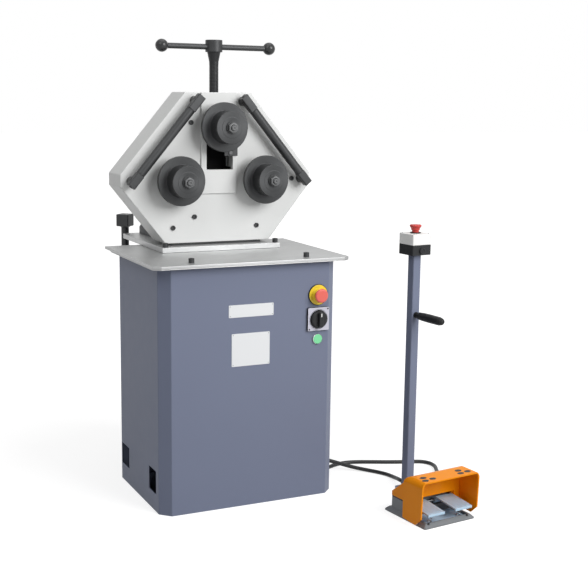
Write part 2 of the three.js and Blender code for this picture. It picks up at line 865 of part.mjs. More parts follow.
function headBackPlate() {
  const bores = rollerPlaces.map(([x, z]) =>
    rod("y", [x, 0, z], shaftRadius + slack, backPlateFront - past, casingBack + past));
  return cut(
    slabY(inset(casingOutline, casingRim + seat), backPlateFront, casingBack),
    ...bores,
    rod("y", [0, 0, pinionHeight], pinionShaftRadius + slack, backPlateFront - past, casingBack + past,
      plain),
  );
}

function slideCover() {
  const back = casingFront - seat;
  const front = back - coverThickness;
  const bottom = casingBottom + windowBottomRise - coverBelowWindow;
  return cut(
    box(-coverWidth / 2, coverWidth / 2, front, back, bottom, casingTop),
    windowTool(front - past, back + past),
  );
}

function feedNutSolid() {
  const top = casingTop - casingRim - seat;
  const bore = screwRadius + slack;
  return turned("z", [0, screwY, top], [
    [bore, -feedNut.length], [feedNut.radius, -feedNut.length], [feedNut.radius, -feedNut.flangeThickness],
    [feedNut.flangeRadius, -feedNut.flangeThickness], [feedNut.flangeRadius, 0], [bore, 0],
    [bore, -feedNut.length],
  ]);
}

piece(head, "head_casing", headCasing(), palePaint);
piece(head, "head_back_plate", headBackPlate(), palePaint);
piece(head, "slide_cover", slideCover(), palePaint);
piece(head, "feed_nut", feedNutSolid(), bronze);

// Drive behind the head
function gearboxSolid() {
  const bodyFront = gearboxFront + gearbox.flange;
  const bodyBack = gearboxFront + gearbox.depth;
  const half = gearbox.width / 2;
  return cut(
    join(
      rod("y", [0, 0, pinionHeight], gearbox.flangeRadius, gearboxFront, bodyFront + sunk),
      box(-half, half, bodyFront, bodyBack, gearboxBottom, gearboxTop),
      rod("z", [wormHousing.offset, wormY, 0], wormHousing.radius, gearboxBottom, gearboxTop, plain),
    ),
    rod("y", [0, 0, pinionHeight], pinionShaftRadius + slack, gearboxFront - past, bodyBack + past, plain),
  );
}

// The motor stands on the worm housing: flange, finned shell, fan cowl and terminal box in one piece.
function motorSolid() {
  const bottom = gearboxTop + seat;
  const top = bottom + motorLength;
  const shell = turned("z", [wormHousing.offset, wormY, 0], [
    [0, bottom], [motorFlange.radius, bottom], [motorFlange.radius, bottom + motorFlange.thickness],
    [motorRadius, bottom + motorFlange.thickness], [motorRadius, top - motorCowl.length],
    [motorCowl.radius, top - motorCowl.length], [motorCowl.radius, top - motorCowl.edge],
    [motorCowl.radius - motorCowl.draft, top], [0, top],
  ]);
  const boxFront = wormY + motorRadius - terminalBox.sunk;
  const [left, right] = [-1, 1].map((side) => wormHousing.offset + (side * terminalBox.width) / 2);
  const [low, high] = [-1, 1].map((side) => (bottom + top + side * terminalBox.height) / 2);
  return join(shell, box(left, right, boxFront, boxFront + terminalBox.depth, low, high));
}

piece(head, "gearbox", gearboxSolid(), darkPaint);
piece(head, "motor", motorSolid(), darkPaint);

// Slide, feed screw and handle
const slideBottom = casingBottom + slideBottomRise;
const slideTop = casingBottom + slideTopRise;

function slideBlock() {
  const pointerBack = pointer.front + pointer.thickness;
  return cut(
    join(
      box(-slideWidth / 2, slideWidth / 2, slideFront, slideBack, slideBottom, slideTop),
      box(pointer.left, pointer.left + pointerArm.width, pointer.front, slideFront + sunk,
        slideBottom - pointerArm.below, slideBottom + pointerArm.above),
      box(pointer.left, pointer.right, pointer.front, pointerBack, slideBottom - pointer.below,
        slideBottom + pointer.above),
    ),
    rod("y", [0, 0, topRollerHeight], shaftRadius + slack, slideFront - past, slideBack + past),
    rod("z", [0, screwY, 0], spigotRadius + slack, slideTop - spigotLength - seat, slideTop + past, plain),
  );
}

const screwNeckTop = casingTop + screwNeckHeight;
const screwHubBottom = screwNeckTop + screwConeHeight;
const screwTop = screwHubBottom + screwHubHeight;
const handleHeight = screwHubBottom + screwHubHeight / 2 - handleDrop;

function feedScrew() {
  const shoulder = slideTop + seat;
  const edge = screwHubEdge;
  return cut(
    turned("z", [0, screwY, 0], [
      [0, slideTop - spigotLength], [spigotRadius, slideTop - spigotLength], [spigotRadius, shoulder],
      [screwRadius, shoulder], [screwRadius, screwNeckTop], [screwConeRadius, screwHubBottom],
      [screwHubRadius - edge, screwHubBottom], [screwHubRadius, screwHubBottom + edge],
      [screwHubRadius, screwTop - edge], [screwHubRadius - edge, screwTop], [0, screwTop],
    ]),
    rod("x", [0, screwY, handleHeight], handleRadius + slack, -screwHubRadius - past,
      screwHubRadius + past, plain),
  );
}

function handleBar() {
  const inBall = handleBallRadius - handleSocketDepth + seat;
  return rod("x", [0, screwY, handleHeight], handleRadius, handleLeft + inBall, handleRight - inBall, plain);
}

// A ball knob with the socket that the bar's end sits in. side is 1 where the bar comes from the right.
function handleBall(x, side) {
  const steps = handleBallSteps;
  const profile = Array.from({ length: steps + 1 }, (unused, i) => {
    const angle = -Math.PI / 2 + (Math.PI * i) / steps;
    return [handleBallRadius * Math.cos(angle), handleBallRadius * Math.sin(angle)];
  });
  profile[0][0] = 0;
  profile[steps][0] = 0;
  const floor = handleBallRadius - handleSocketDepth;
  const mouth = handleBallRadius + past;
  const socket = side > 0
    ? rod("x", [x, screwY, handleHeight], handleRadius + slack, floor, mouth, plain)
    : rod("x", [x, screwY, handleHeight], handleRadius + slack, -mouth, -floor, plain);
  return cut(turned("x", [x, screwY, handleHeight], profile, plain), socket);
}

piece(head, "slide_block", slideBlock(), darkPaint);
piece(head, "feed_screw", feedScrew(), blackOxide);
piece(head, "handle_bar", handleBar(), blackOxide);
piece(head, "handle_ball_left", handleBall(handleLeft, 1), blackOxide);
piece(head, "handle_ball_right", handleBall(handleRight, -1), blackOxide);

// Rollers, their shafts and nuts
const collarFront = rollerBack + seat;

function shaft(end) {
  return turned("y", axisHere, [
    [0, threadFront], [threadRadius - threadEdge, threadFront], [threadRadius, threadFront + threadEdge],
    [threadRadius, rollerFront], [shaftRadius, rollerFront], [shaftRadius, collarFront],
    [shaftCollarRadius, collarFront], [shaftCollarRadius, shaftCollarBack], [shaftRadius, shaftCollarBack],
    [shaftRadius, end], [0, end],
  ]);
}

function roller() {
  const bore = shaftRadius + slack;
  return turned("y", axisHere, [
    [bore, rollerFront], [rollerRadius - rollerEdge, rollerFront], [rollerRadius, rollerFront + rollerEdge],
    [rollerRadius, rollerStep], [flangeRadius - rollerEdge, rollerStep],
    [flangeRadius, rollerStep + rollerEdge], [flangeRadius, rollerBack - rollerEdge],
    [flangeRadius - rollerEdge, rollerBack], [bore, rollerBack], [bore, rollerFront],
  ]);
}

function rollerNut() {
  const back = rollerFront - seat;
  const washerFront = back - washer.thickness;
  const hexRadius = nutAcrossFlats / Math.sqrt(3);
  return cut(
    join(
      rod("y", axisHere, washer.radius, washerFront, back, plain),
      rod("y", axisHere, hexRadius, washerFront - nutThickness, washerFront + sunk, hexSides),
    ),
    rod("y", axisHere, threadRadius + slack, washerFront - nutThickness - past, back + past, plain),
  );
}

// A straight-sided approximation of an involute gear, with one tooth centred on the given angle.
function gearOutline(teeth, toothAngle) {
  const pitchRadius = (teeth * gearModule) / 2;
  const tip = pitchRadius + gearModule * gearAddendum;
  const root = pitchRadius - gearModule * gearDedendum;
  const flank = Math.tan(THREE.MathUtils.degToRad(pressureAngle));
  const halfPitchTooth = (Math.PI * gearModule / 2 - gearBacklash) / 2;
  const halfAt = (radius) => (halfPitchTooth - (radius - pitchRadius) * flank) / radius;
  return Array.from({ length: teeth }, (unused, i) => {
    const centre = toothAngle + (2 * Math.PI * i) / teeth;
    return [[root, -1], [tip, -1], [tip, 1], [root, 1]].map(([radius, side]) => {
      const angle = centre + side * halfAt(radius);
      return [radius * Math.cos(angle), radius * Math.sin(angle)];
    });
  }).flat();
}

// The tooth angle at which a gear meshes with a driver that lies in the opposite direction.
function meshedAngle(driverAngle, driverTeeth, teeth, direction) {
  const pitch = (2 * Math.PI) / driverTeeth;
  const gap = THREE.MathUtils.euclideanModulo(driverAngle + pitch / 2 - direction, pitch);
  return direction + Math.PI - (gap * driverTeeth) / teeth;
}

function gear(teeth, toothAngle) {
  return cut(
    slabY(gearOutline(teeth, toothAngle), gearFront, gearFront + gearWidth),
    rod("y", axisHere, shaftRadius + slack, gearFront - past, gearFront + gearWidth + past),
  );
}

const meshAngle = Math.atan2(lowerRollerHeight - pinionHeight, lowerRollerX);
const lowerShaftEnd = casingBack - seat;

const lowerRollers = [["left", -lowerRollerX, Math.PI - meshAngle], ["right", lowerRollerX, meshAngle]];
for (const [side, x, direction] of lowerRollers) {
  const place = [x, 0, lowerRollerHeight];
  const toothAngle = meshedAngle(meshAngle, pinionTeeth, rollerGearTeeth, direction);
  piece(head, `${side}_shaft`, shaft(lowerShaftEnd), blackOxide, place);
  piece(head, `${side}_roller`, roller(), rollSteel, place);
  piece(head, `${side}_nut`, rollerNut(), blackOxide, place);
  piece(head, `${side}_gear`, gear(rollerGearTeeth, toothAngle), brightSteel, place);
}

const topPlace = [0, 0, topRollerHeight];
piece(head, "top_shaft", shaft(slideBack - seat), blackOxide, topPlace);
piece(head, "top_roller", roller(), rollSteel, topPlace);
piece(head, "top_nut", rollerNut(), blackOxide, topPlace);

function drivePinion() {
  const start = casingInsideFront;
  return join(
    rod("y", axisHere, pinionShaftRadius, start, start + pinionShaftLength, plain),
    slabY(gearOutline(pinionTeeth, meshAngle), gearFront, gearFront + gearWidth),
  );
}

piece(head, "drive_pinion", drivePinion(), brightSteel, [0, 0, pinionHeight]);

// Side guide bars, drawn along X from their upper end
const guideRun = guideBottom.x - guideTop.x;
const guideDrop = guideTop.rise - guideBottom.rise;
const guideLength = Math.hypot(guideRun, guideDrop);
const sleeveStart = guideUpperBlock + seat;
const sleeveEnd = guideLength - guideLowerBlock - seat;

function guideFrame() {
  const studBack = casingFront - guideY - seat;
  const half = guideBlockSide / 2;
  return join(
    box(0, guideUpperBlock, -half, half, -half, half),
    box(guideLength - guideLowerBlock, guideLength, -half, half, -half, half),
    rod("x", axisHere, guideCoreRadius, sunk, guideLength - sunk, plain),
    rod("x", axisHere, guideTipRadius, -guideTipLength, guideLength + guideTipLength, coarse),
    rod("y", [guideUpperStud, 0, 0], guideStudRadius, 0, studBack, plain),
    rod("y", [guideLength - guideLowerStud, 0, 0], guideStudRadius, 0, studBack, plain),
  );
}

function guideSleeve() {
  return ring("x", axisHere, guideSleeveRadius, guideCoreRadius + slack, sleeveStart, sleeveEnd, plain);
}

for (const [side, sign] of [["left", -1], ["right", 1]]) {
  const place = [sign * guideTop.x, guideY, casingBottom + guideTop.rise];
  const turn = [0, Math.atan2(guideDrop, sign * guideRun), 0];
  piece(head, `${side}_guide_frame`, guideFrame(), blackOxide, place, turn);
  piece(head, `${side}_guide_sleeve`, guideSleeve(), blackOxide, place, turn);
}

// Rests on the back of the cabinet: foot plate, arm, stem and a square head set cornerwise
function restPost() {
  const shoulder = restTop - restHeadHeight;
  const face = cabinetBack + seat;
  const half = restFoot.width / 2;
  const reach = restHeadSide / Math.SQRT2;
  const diamond = (size) => [[size, 0], [0, size], [-size, 0], [0, -size]];
  const headSolid = join(
    slabZ(diamond(reach), shoulder, restTop - restEdge),
    slabZ(diamond(reach - restEdge), restTop - restEdge - sunk, restTop),
  );
  const taper = turned("z", [0, 0, 0], [
    [0, shoulder - restTaper], [restStemRadius, shoulder - restTaper],
    [restHeadSide / 2 - sunk, shoulder + sunk], [0, shoulder + sunk],
  ], plain);
  return join(
    headSolid,
    taper,
    rod("z", [0, 0, 0], restStemRadius, restArmBottom, shoulder - restTaper + sunk, plain),
    box(-restArmWidth / 2, restArmWidth / 2, face - restY, restStemRadius, restArmBottom,
      restArmBottom + restArmHeight),
    box(-half, half, face - restY, face - restY + restFoot.thickness, restFoot.bottom, restFoot.top),
  );
}

piece(machine, "rest_post_left", restPost(), blackOxide, [-restX, restY, 0]);
piece(machine, "rest_post_right", restPost(), blackOxide, [restX, restY, 0]);

// Foot switch
const foot = new THREE.Group();
foot.position.set(footPlace.x, footPlace.y, 0);
foot.rotation.z = THREE.MathUtils.degToRad(footPlace.turn);
machine.add(foot);

// The base casting with the switch housing behind its recessed floor.
function footBase() {
  const edge = box(0, footWidth, 0, footDepth, 0, footEdge);
  const rise = footHeight - footEdge;
  const steps = Array.from({ length: footSteps }, (unused, i) => {
    const share = (i + 1) / footSteps;
    const back = footSlope * share;
    return box(back, footWidth - back, back, footDepth - back, footEdge - sunk, footEdge + rise * share);
  });
  const housing = footHousing;
  const shaftHole = rod("x", [0, pedalPivot.y, pedalPivot.z], pedalShaftRadius + slack, housing.left - past,
    housing.right + past, plain);
  const standTop = standThickness + seat;
  return cut(
    join(
      edge,
      ...steps,
      box(housing.left, housing.right, housing.front, housing.rear, footEdge, housing.top),
      rod("y", [footCableGland.x, 0, footCableGland.z], footCableGland.radius, housing.rear - sunk,
        housing.rear + footCableGland.length, plain),
    ),
    box(footRim.side, footWidth - footRim.side, footRim.front, housing.front, footFloor, footHeight + past),
    box(housing.left + housingWall, housing.right - housingWall, housing.front - past, pedalPocketRear,
      pedalPivot.z - pedalBossRadius - pedalBossClear, housing.top + past),
    box(housing.left + housingWall, housing.right - housingWall, pedalPocketRear + housingWall,
      housing.rear - housingWall, footHeight + footFloor, housing.top + past),
    box(standUnderFoot.left - seat, standUnderFoot.right + seat, standUnderFoot.front - seat,
      footDepth + past, -past, standTop),
    shaftHole,
  );
}

// The arch at the top of the guard's side profile, from its highest point down to its back.
function guardArch(thickness) {
  return Array.from({ length: guardArchSteps + 1 }, (unused, i) => {
    const angle = (Math.PI / 2) * (i / guardArchSteps);
    const depth = guardBack - guardTopRearY - thickness;
    const rise = guardTopRear - guardBackTop - thickness;
    return [guardTopRearY + depth * Math.sin(angle), guardBackTop + rise * Math.cos(angle)];
  });
}

// A rectangle with its upper corners rounded.
function roundedFront(left, right, bottom, top, radius) {
  const corner = (cx, start) => Array.from({ length: guardCornerSteps + 1 }, (unused, i) => {
    const angle = start + (Math.PI / 2) * (i / guardCornerSteps);
    return [cx + radius * Math.cos(angle), top - radius + radius * Math.sin(angle)];
  });
  return [
    [left, bottom], [right, bottom], ...corner(right - radius, 0), ...corner(left + radius, Math.PI / 2),
  ];
}

function footGuard() {
  const outerSide = [
    [guardLipFront, guardLipHeight], [guardLowFront, guardSideBottom],
    [guardLowRear, guardSideBottom + guardHemRise.low], [guardBack, guardSideBottom + guardHemRise.back],
    ...guardArch(0).reverse(), [0, guardTopFront],
  ];
  const innerSide = [
    [-past, -past], [guardBack - guardWall, -past], ...guardArch(guardWall).reverse(),
    [-past, guardTopFront - guardWall - guardTopSlope],
  ];
  const outerFront = roundedFront(guardLeft, guardRight, 0, guardTopRear, guardCorner);
  const innerFront = roundedFront(guardLeft + guardWall, guardRight - guardWall, -past,
    guardTopRear - guardWall, guardCorner - guardWall);
  const shell = cut(
    slabX(outerSide, guardLeft, guardRight).intersect(slabY(outerFront, -past, guardBack + past)),
    slabX(innerSide, guardLeft, guardRight).intersect(slabY(innerFront, -2 * past, guardBack)),
  );
  const seam = footHousing.top + seat;
  const lidFront = guardBack - guardWall + sunk;
  const lidRear = footHousing.rear - housingWall;
  const lidOuter = [
    [lidFront, seam], [footHousing.rear, seam], [footHousing.rear, lidRearTop],
    [lidTopY, lidTop], [lidFront, guardBackTop - lidBelowArch],
  ];
  const lidInner = [
    [guardBack, seam - past], [lidRear, seam - past], [lidRear, lidRearTop - lidWall.rear],
    [lidTopY - lidWall.ridge, lidTop - lidWall.top], [guardBack, guardBackTop - lidWall.front],
  ];
  return cut(
    join(shell, slabX(lidOuter, footHousing.left, footHousing.right)),
    slabX(lidInner, footHousing.left + housingWall, footHousing.right - housingWall),
    box(footHousing.left - seat, footHousing.right + seat, guardBack - guardWall - past, guardBack + past,
      -past, seam),
    box(footHousing.left + seat, footHousing.right - seat, guardBack - guardWall - past, guardBack + past,
      seam - past, pedalSlotTop),
  );
}

const pedalSlope = (pedalRearTop - pedalFrontTop) / guardBack;
const pedalUnderside = (y) => pedalFrontTop - pedalThickness + pedalSlope * y;

// A pedal: a sloping tread with a lip in front, turning on the shaft by its rear boss.
function pedal({ left, right }) {
  const lip = pedalFrontTop - pedalThickness - pedalLip.drop;
  const lipBack = pedalLip.depth + sunk;
  const pedalBend = guardBack - guardWall + sunk;
  const tread = [
    [0, pedalFrontTop], [0, lip], [pedalLip.depth, lip], [lipBack, pedalUnderside(lipBack)],
    [pedalBend, pedalUnderside(pedalBend)],
    [pedalPivot.y - pedalShaftRadius, pedalPivot.z - pedalShaftRadius],
    [pedalPivot.y + pedalShaftRadius, pedalPivot.z + pedalShaftRadius],
    [guardBack + pedalThickness, pedalRearTop + pedalRearRise],
  ];
  const cheekLeft = footHousing.left + housingWall + seat;
  const cheekRight = footHousing.right - housingWall - seat;
  const cheekFront = footHousing.front - sunk;
  const behind = footHousing.rear;
  return cut(
    join(
      slabX(tread, left, right),
      rod("x", [0, pedalPivot.y, pedalPivot.z], pedalBossRadius, left, right, plain),
    ),
    rod("x", [0, pedalPivot.y, pedalPivot.z], pedalShaftRadius + slack, left - past, right + past, plain),
    box(0, cheekLeft, cheekFront, behind, 0, pedalRearTop + past),
    box(cheekRight, footWidth, cheekFront, behind, 0, pedalRearTop + past),
  );
}

function pedalShaft() {
  const { left, right } = footHousing;
  return rod("x", [0, pedalPivot.y, pedalPivot.z], pedalShaftRadius, left, right, plain);
}

// A helix of round wire whose two ends run straight up and down.
function springPoints(height) {
  const points = [new THREE.Vector3(springRadius - springWire / 2, 0, 0)];
  const radius = springRadius - springWire / 2;
  const steps = springCurls * curlSteps;
  for (let i = 0; i <= steps; i += 1) {
    const angle = (2 * Math.PI * i) / curlSteps;
    const rise = springWire + ((height - 2 * springWire) * i) / steps;
    points.push(new THREE.Vector3(radius * Math.cos(angle), radius * Math.sin(angle), rise));
  }
  const last = points[points.length - 1];
  points.push(new THREE.Vector3(last.x, last.y, height));
  return points;
}

// Sweeps a ring of wire sides along the points and closes both ends.
function wireSolid(points) {
  const wire = springWire / 2;
  const vertices = [];
  points.forEach((point, i) => {
    const before = points[Math.max(i - 1, 0)];
    const after = points[Math.min(i + 1, points.length - 1)];
    const along = after.clone().sub(before).normalize();
    const outward = new THREE.Vector3(point.x, point.y, 0);
    outward.addScaledVector(along, -outward.dot(along)).normalize();
    const upward = along.clone().cross(outward);
    for (let k = 0; k < wireSides; k += 1) {
      const angle = (2 * Math.PI * k) / wireSides;
      vertices.push(point.clone()
        .addScaledVector(outward, wire * Math.cos(angle))
        .addScaledVector(upward, wire * Math.sin(angle)));
    }
  });
  const triangles = [];
  for (let i = 0; i + 1 < points.length; i += 1) {
    for (let k = 0; k < wireSides; k += 1) {
      const next = (k + 1) % wireSides;
      const [a, b] = [i * wireSides + k, i * wireSides + next];
      const [c, d] = [a + wireSides, b + wireSides];
      triangles.push(a, b, d, a, d, c);
    }
  }
  const end = (points.length - 1) * wireSides;
  for (let k = 1; k + 1 < wireSides; k += 1) {
    triangles.push(0, k + 1, k, end, end + k, end + k + 1);
  }
  const geometry = new THREE.BufferGeometry();
  const numbers = vertices.flatMap((vertex) => vertex.toArray());
  geometry.setAttribute("position", new THREE.Float32BufferAttribute(numbers, 3));
  geometry.setIndex(triangles);
  return solidOf(geometry);
}

// The least gap between stretches of the wire that are not neighbours.
function leastSelfGap(points) {
  let least = Infinity;
  for (let i = 0; i < points.length; i += 1) {
    for (let j = i + curlSteps / 2; j < points.length; j += 1) {
      least = Math.min(least, points[i].distanceTo(points[j]) - springWire);
    }
  }
  return least;
}

const springFoot = footFloor + seat;
const springHeight = pedalUnderside(springLeft.y - springRadius) - seat - springFoot;
const selfGap = leastSelfGap(springPoints(springHeight));
console.log(`least gap of a pedal spring to itself: ${selfGap.toFixed(2)} mm`);

piece(foot, "foot_base", footBase(), castAluminium);
piece(foot, "foot_guard", footGuard(), orangePaint);
piece(foot, "pedal_left", pedal(pedalLeft), castAluminium);
piece(foot, "pedal_right", pedal(pedalRight), castAluminium);
piece(foot, "pedal_shaft", pedalShaft(), brightSteel);
for (const [side, at] of [["left", springLeft], ["right", springRight]]) {
  const place = [at.x, at.y, springFoot];
  piece(foot, `pedal_spring_${side}`, wireSolid(springPoints(springHeight)), brightSteel, place);
}

// Stand plate, post, grip and control station, in the foot switch's frame
const postHalf = postSide / 2;

function standPlate() {
  const reach = postHalf + standMargin;
  return slabZ([
    [standUnderFoot.left, standUnderFoot.front],
    [standUnderFoot.right, standUnderFoot.front],
    [standUnderFoot.right, footDepth],
    [postPlace.x + reach, postPlace.y - reach],
    [postPlace.x + reach, postPlace.y + reach],
    [postPlace.x - reach, postPlace.y + reach],
    [standUnderFoot.left, footDepth],
  ], 0, standThickness);
}

function post() {
  const bottom = standThickness + seat;
  const inner = postHalf - postWall;
  const gland = postCableGland;
  return join(
    cut(
      box(-postHalf, postHalf, -postHalf, postHalf, bottom, postTop),
      box(-inner, inner, -inner, inner, bottom - past, postTop + past),
    ),
    rod("y", [0, 0, gland.z], gland.radius, inner + sunk / 2, postHalf + gland.length, plain),
  );
}

function postGrip() {
  const start = postHalf + seat;
  const bulb = start + gripNeck.length;
  const end = bulb + gripLength;
  const { radius, flangeRadius, flangeThickness } = gripNeck;
  return turned("y", axisHere, [
    [0, start], [flangeRadius, start], [flangeRadius, start + flangeThickness],
    [radius, start + flangeThickness], [radius, bulb],
    [gripRadius - gripSwell.draft, bulb + gripSwell.draft], [gripRadius, bulb + gripSwell.length],
    [gripRadius, end - gripEnd.length], [gripRadius - gripEnd.draft, end - gripEnd.edge],
    [gripEnd.faceRadius, end], [0, end],
  ], plain);
}

const stationBottom = postTop + seat;
const stationSeam = stationBottom + stationBaseHeight;
const lidBottom = stationSeam + seat;
const lidTopFace = lidBottom + stationLidHeight;
const stationHalf = stationSide / 2;

function stationBase() {
  const inner = stationHalf - stationWall;
  return join(
    cut(
      box(-stationHalf, stationHalf, -stationHalf, stationHalf, stationBottom, stationSeam),
      box(-inner, inner, -inner, inner, stationBottom + stationWall, stationSeam + past),
    ),
    rod("y", [0, 0, stationBottom + stationGlandRise], stationGlandRadius, -stationHalf - stationGlandLength,
      -stationHalf + sunk, plain),
  );
}

function stationLid() {
  const inner = stationHalf - stationWall;
  return cut(
    join(
      box(-stationHalf, stationHalf, -stationHalf, stationHalf, lidBottom, lidTopFace),
      rod("z", axisHere, stationNeck.radius, lidTopFace - sunk, lidTopFace + stationNeck.height, plain),
    ),
    box(-inner, inner, -inner, inner, lidBottom - past, lidTopFace - stationWall),
    rod("z", axisHere, stationStemRadius + slack, lidTopFace - stationWall - past,
      lidTopFace + stationNeck.height + past, plain),
  );
}

function stationButton() {
  const bottom = lidTopFace + stationNeck.height + stationTravel + stationClear;
  const top = bottom + stationHead.height;
  const { radius, neckRadius, flare, edge, faceRadius } = stationHead;
  return turned("z", axisHere, [
    [0, lidTopFace - stationStemBelow], [stationStemRadius, lidTopFace - stationStemBelow],
    [stationStemRadius, bottom], [neckRadius, bottom], [radius, bottom + flare],
    [radius, top - edge], [faceRadius, top], [0, top],
  ]);
}

const postAt = [postPlace.x, postPlace.y, 0];
piece(foot, "stand_plate", standPlate(), cabinetPaint);
piece(foot, "post", post(), cabinetPaint, postAt);
piece(foot, "post_grip", postGrip(), blackPlastic, [postPlace.x, postPlace.y, gripHeight], outwards);
piece(foot, "station_base", stationBase(), blackPlastic, postAt);
piece(foot, "station_lid", stationLid(), whitePlastic, postAt);
piece(foot, "station_button", stationButton(), redPlastic, postAt);

// Cables
function cord(route) {
  const points = route.map((point) => new THREE.Vector3(...point));
  const extrudePath = new THREE.CatmullRomCurve3(points, false, "centripetal");
  const section = Array.from({ length: cordSides }, (unused, i) => {
    const angle = (2 * Math.PI * i) / cordSides;
    return [cordRadius * Math.cos(angle), cordRadius * Math.sin(angle)];
  });
  const steps = Math.ceil(extrudePath.getLength() / cordStep);
  const options = { steps, extrudePath, bevelEnabled: false };
  return solidOf(new THREE.ExtrudeGeometry(shapeOf(section), options));
}

piece(machine, "cord_a", cord(stationCordRoute), rubber);
piece(machine, "cord_b", cord(footCordRoute), rubber);

export default machine;
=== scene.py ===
"""The looks of a three-roll ring bending machine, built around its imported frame. Sizes are in metres."""

import json
import math

import bmesh
import bpy
from bpy.props import FloatProperty, FloatVectorProperty, IntProperty, PointerProperty
from mathutils import Matrix, Vector


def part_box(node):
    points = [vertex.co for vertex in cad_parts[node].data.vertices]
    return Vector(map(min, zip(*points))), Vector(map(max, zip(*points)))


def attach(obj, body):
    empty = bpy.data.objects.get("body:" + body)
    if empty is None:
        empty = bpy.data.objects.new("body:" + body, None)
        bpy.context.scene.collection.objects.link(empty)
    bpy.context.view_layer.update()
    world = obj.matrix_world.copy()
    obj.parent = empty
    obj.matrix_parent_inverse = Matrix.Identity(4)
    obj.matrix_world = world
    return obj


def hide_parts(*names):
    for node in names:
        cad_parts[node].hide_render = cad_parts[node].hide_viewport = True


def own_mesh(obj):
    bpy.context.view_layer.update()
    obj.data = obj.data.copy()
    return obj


bl_info = {
    "name": "Ring Roller",
    "version": (1, 0, 0),
    "blender": (4, 5, 0),
    "location": "3D View > Sidebar > Ring Roller",
    "description": "Builds a three-roll ring bending machine with its foot switch and station post",
    "category": "Object",
}

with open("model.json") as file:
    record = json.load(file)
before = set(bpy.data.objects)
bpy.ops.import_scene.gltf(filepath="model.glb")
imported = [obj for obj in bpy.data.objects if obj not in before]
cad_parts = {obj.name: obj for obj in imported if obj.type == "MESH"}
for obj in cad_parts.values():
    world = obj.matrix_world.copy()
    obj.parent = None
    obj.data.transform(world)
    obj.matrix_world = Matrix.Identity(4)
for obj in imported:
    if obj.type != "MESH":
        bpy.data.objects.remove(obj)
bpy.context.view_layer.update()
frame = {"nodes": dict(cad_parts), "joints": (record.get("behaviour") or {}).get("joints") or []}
JOINTS = {joint["name"]: joint for joint in frame["joints"]}

ROUND = 72  # points round a turned piece
SMALL_ROUND = 36  # points round a screw or a pin
SHARP = math.radians(32)
TINY = 1e-6
GAP = 0.0003  # between pieces that touch
SIDES = (("left", -1), ("right", 1))


# Places in the frame


def low(node):
    """The lowest corner of a piece of the frame."""
    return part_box(node)[0]


def high(node):
    """The highest corner of a piece of the frame."""
    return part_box(node)[1]


def middle(node):
    """The centre of a piece of the frame."""
    return (low(node) + high(node)) / 2


def pivot(joint):
    """The point that a joint turns about."""
    return Vector(JOINTS[joint]["pos_m"])


def facing(origin, axis="up"):
    """Where a piece goes that is drawn in x and y and grows along z: its place and which way z points."""
    along, across = {
        "up": ((0, 0, 1), (1, 0, 0)),
        "down": ((0, 0, -1), (1, 0, 0)),
        "front": ((0, -1, 0), (1, 0, 0)),
        "back": ((0, 1, 0), (-1, 0, 0)),
        "right": ((1, 0, 0), (0, 1, 0)),
        "left": ((-1, 0, 0), (0, -1, 0)),
    }[axis]
    return aimed(origin, along, across)


def aimed(origin, along, across):
    """A place whose z runs along one direction and whose x runs across it."""
    z = Vector(along).normalized()
    x = Vector(across).normalized()
    rotation = Matrix((x, z.cross(x), z)).transposed()
    return Matrix.Translation(Vector(origin)) @ rotation.to_4x4()


# Outlines


def arc(centre, radius, start, end, steps):
    """Points on an arc between two angles in degrees, both ends included."""
    angles = [math.radians(start + (end - start) * i / steps) for i in range(steps + 1)]
    return [(centre[0] + radius * math.cos(a), centre[1] + radius * math.sin(a)) for a in angles]


def rectangle(left, right, front, back):
    """The four corners of a rectangle."""
    return [(left, front), (right, front), (right, back), (left, back)]


def rounded(points, radius, steps=4, closed=True):
    """An outline with an arc in place of each corner. The radius is one value, or one for each corner."""
    count = len(points)
    radii = list(radius) if hasattr(radius, "__len__") else [radius] * count
    result = []
    for i, point in enumerate(points):
        if radii[i] <= 0 or (not closed and i in (0, count - 1)):
            result.append(tuple(point))
            continue
        corner = Vector(point)
        before = Vector(points[i - 1]) - corner
        after = Vector(points[(i + 1) % count]) - corner
        half = before.angle(after) / 2
        reach = min(radii[i] / math.tan(half), 0.49 * before.length, 0.49 * after.length)
        first = corner + before.normalized() * reach
        last = corner + after.normalized() * reach
        centre = corner + (before.normalized() + after.normalized()).normalized() * (reach / math.cos(half))
        start = math.atan2(first.y - centre.y, first.x - centre.x)
        turn = math.atan2(last.y - centre.y, last.x - centre.x) - start
        turn = (turn + math.pi) % (2 * math.pi) - math.pi
        size = (first - centre).length
        for k in range(steps + 1):
            angle = start + turn * k / steps
            result.append((centre.x + size * math.cos(angle), centre.y + size * math.sin(angle)))
    return result


def inset(points, distance):
    """An anticlockwise outline with every edge moved inwards."""
    if abs(distance) < TINY:
        return list(points)
    count = len(points)
    result = []
    for i, (x, y) in enumerate(points):
        normals = []
        for start, end in ((points[i - 1], points[i]), (points[i], points[(i + 1) % count])):
            edge = Vector(end) - Vector(start)
            normals.append(Vector((-edge.y, edge.x)).normalized())
        spread = 1 + normals[0].dot(normals[1])
        result.append((
            x + distance * (normals[0].x + normals[1].x) / spread,
            y + distance * (normals[0].y + normals[1].y) / spread,
        ))
    return result


def span(sign, near, far):
    """The two ends, in order, of a stretch on one side of the middle."""
    return sorted((sign * near, sign * far))


def cut_front(lo, hi, across, back):
    """A rectangle in plan between two corners of a box, with its front corners cut off."""
    return [
        (lo.x + across, lo.y), (hi.x - across, lo.y), (hi.x, lo.y + back),
        (hi.x, hi.y), (lo.x, hi.y), (lo.x, lo.y + back),
    ]


def circle(radius, steps=SMALL_ROUND, centre=(0, 0)):
    """An anticlockwise ring of points."""
    return arc(centre, radius, 0, 360 * (steps - 1) / steps, steps - 1)


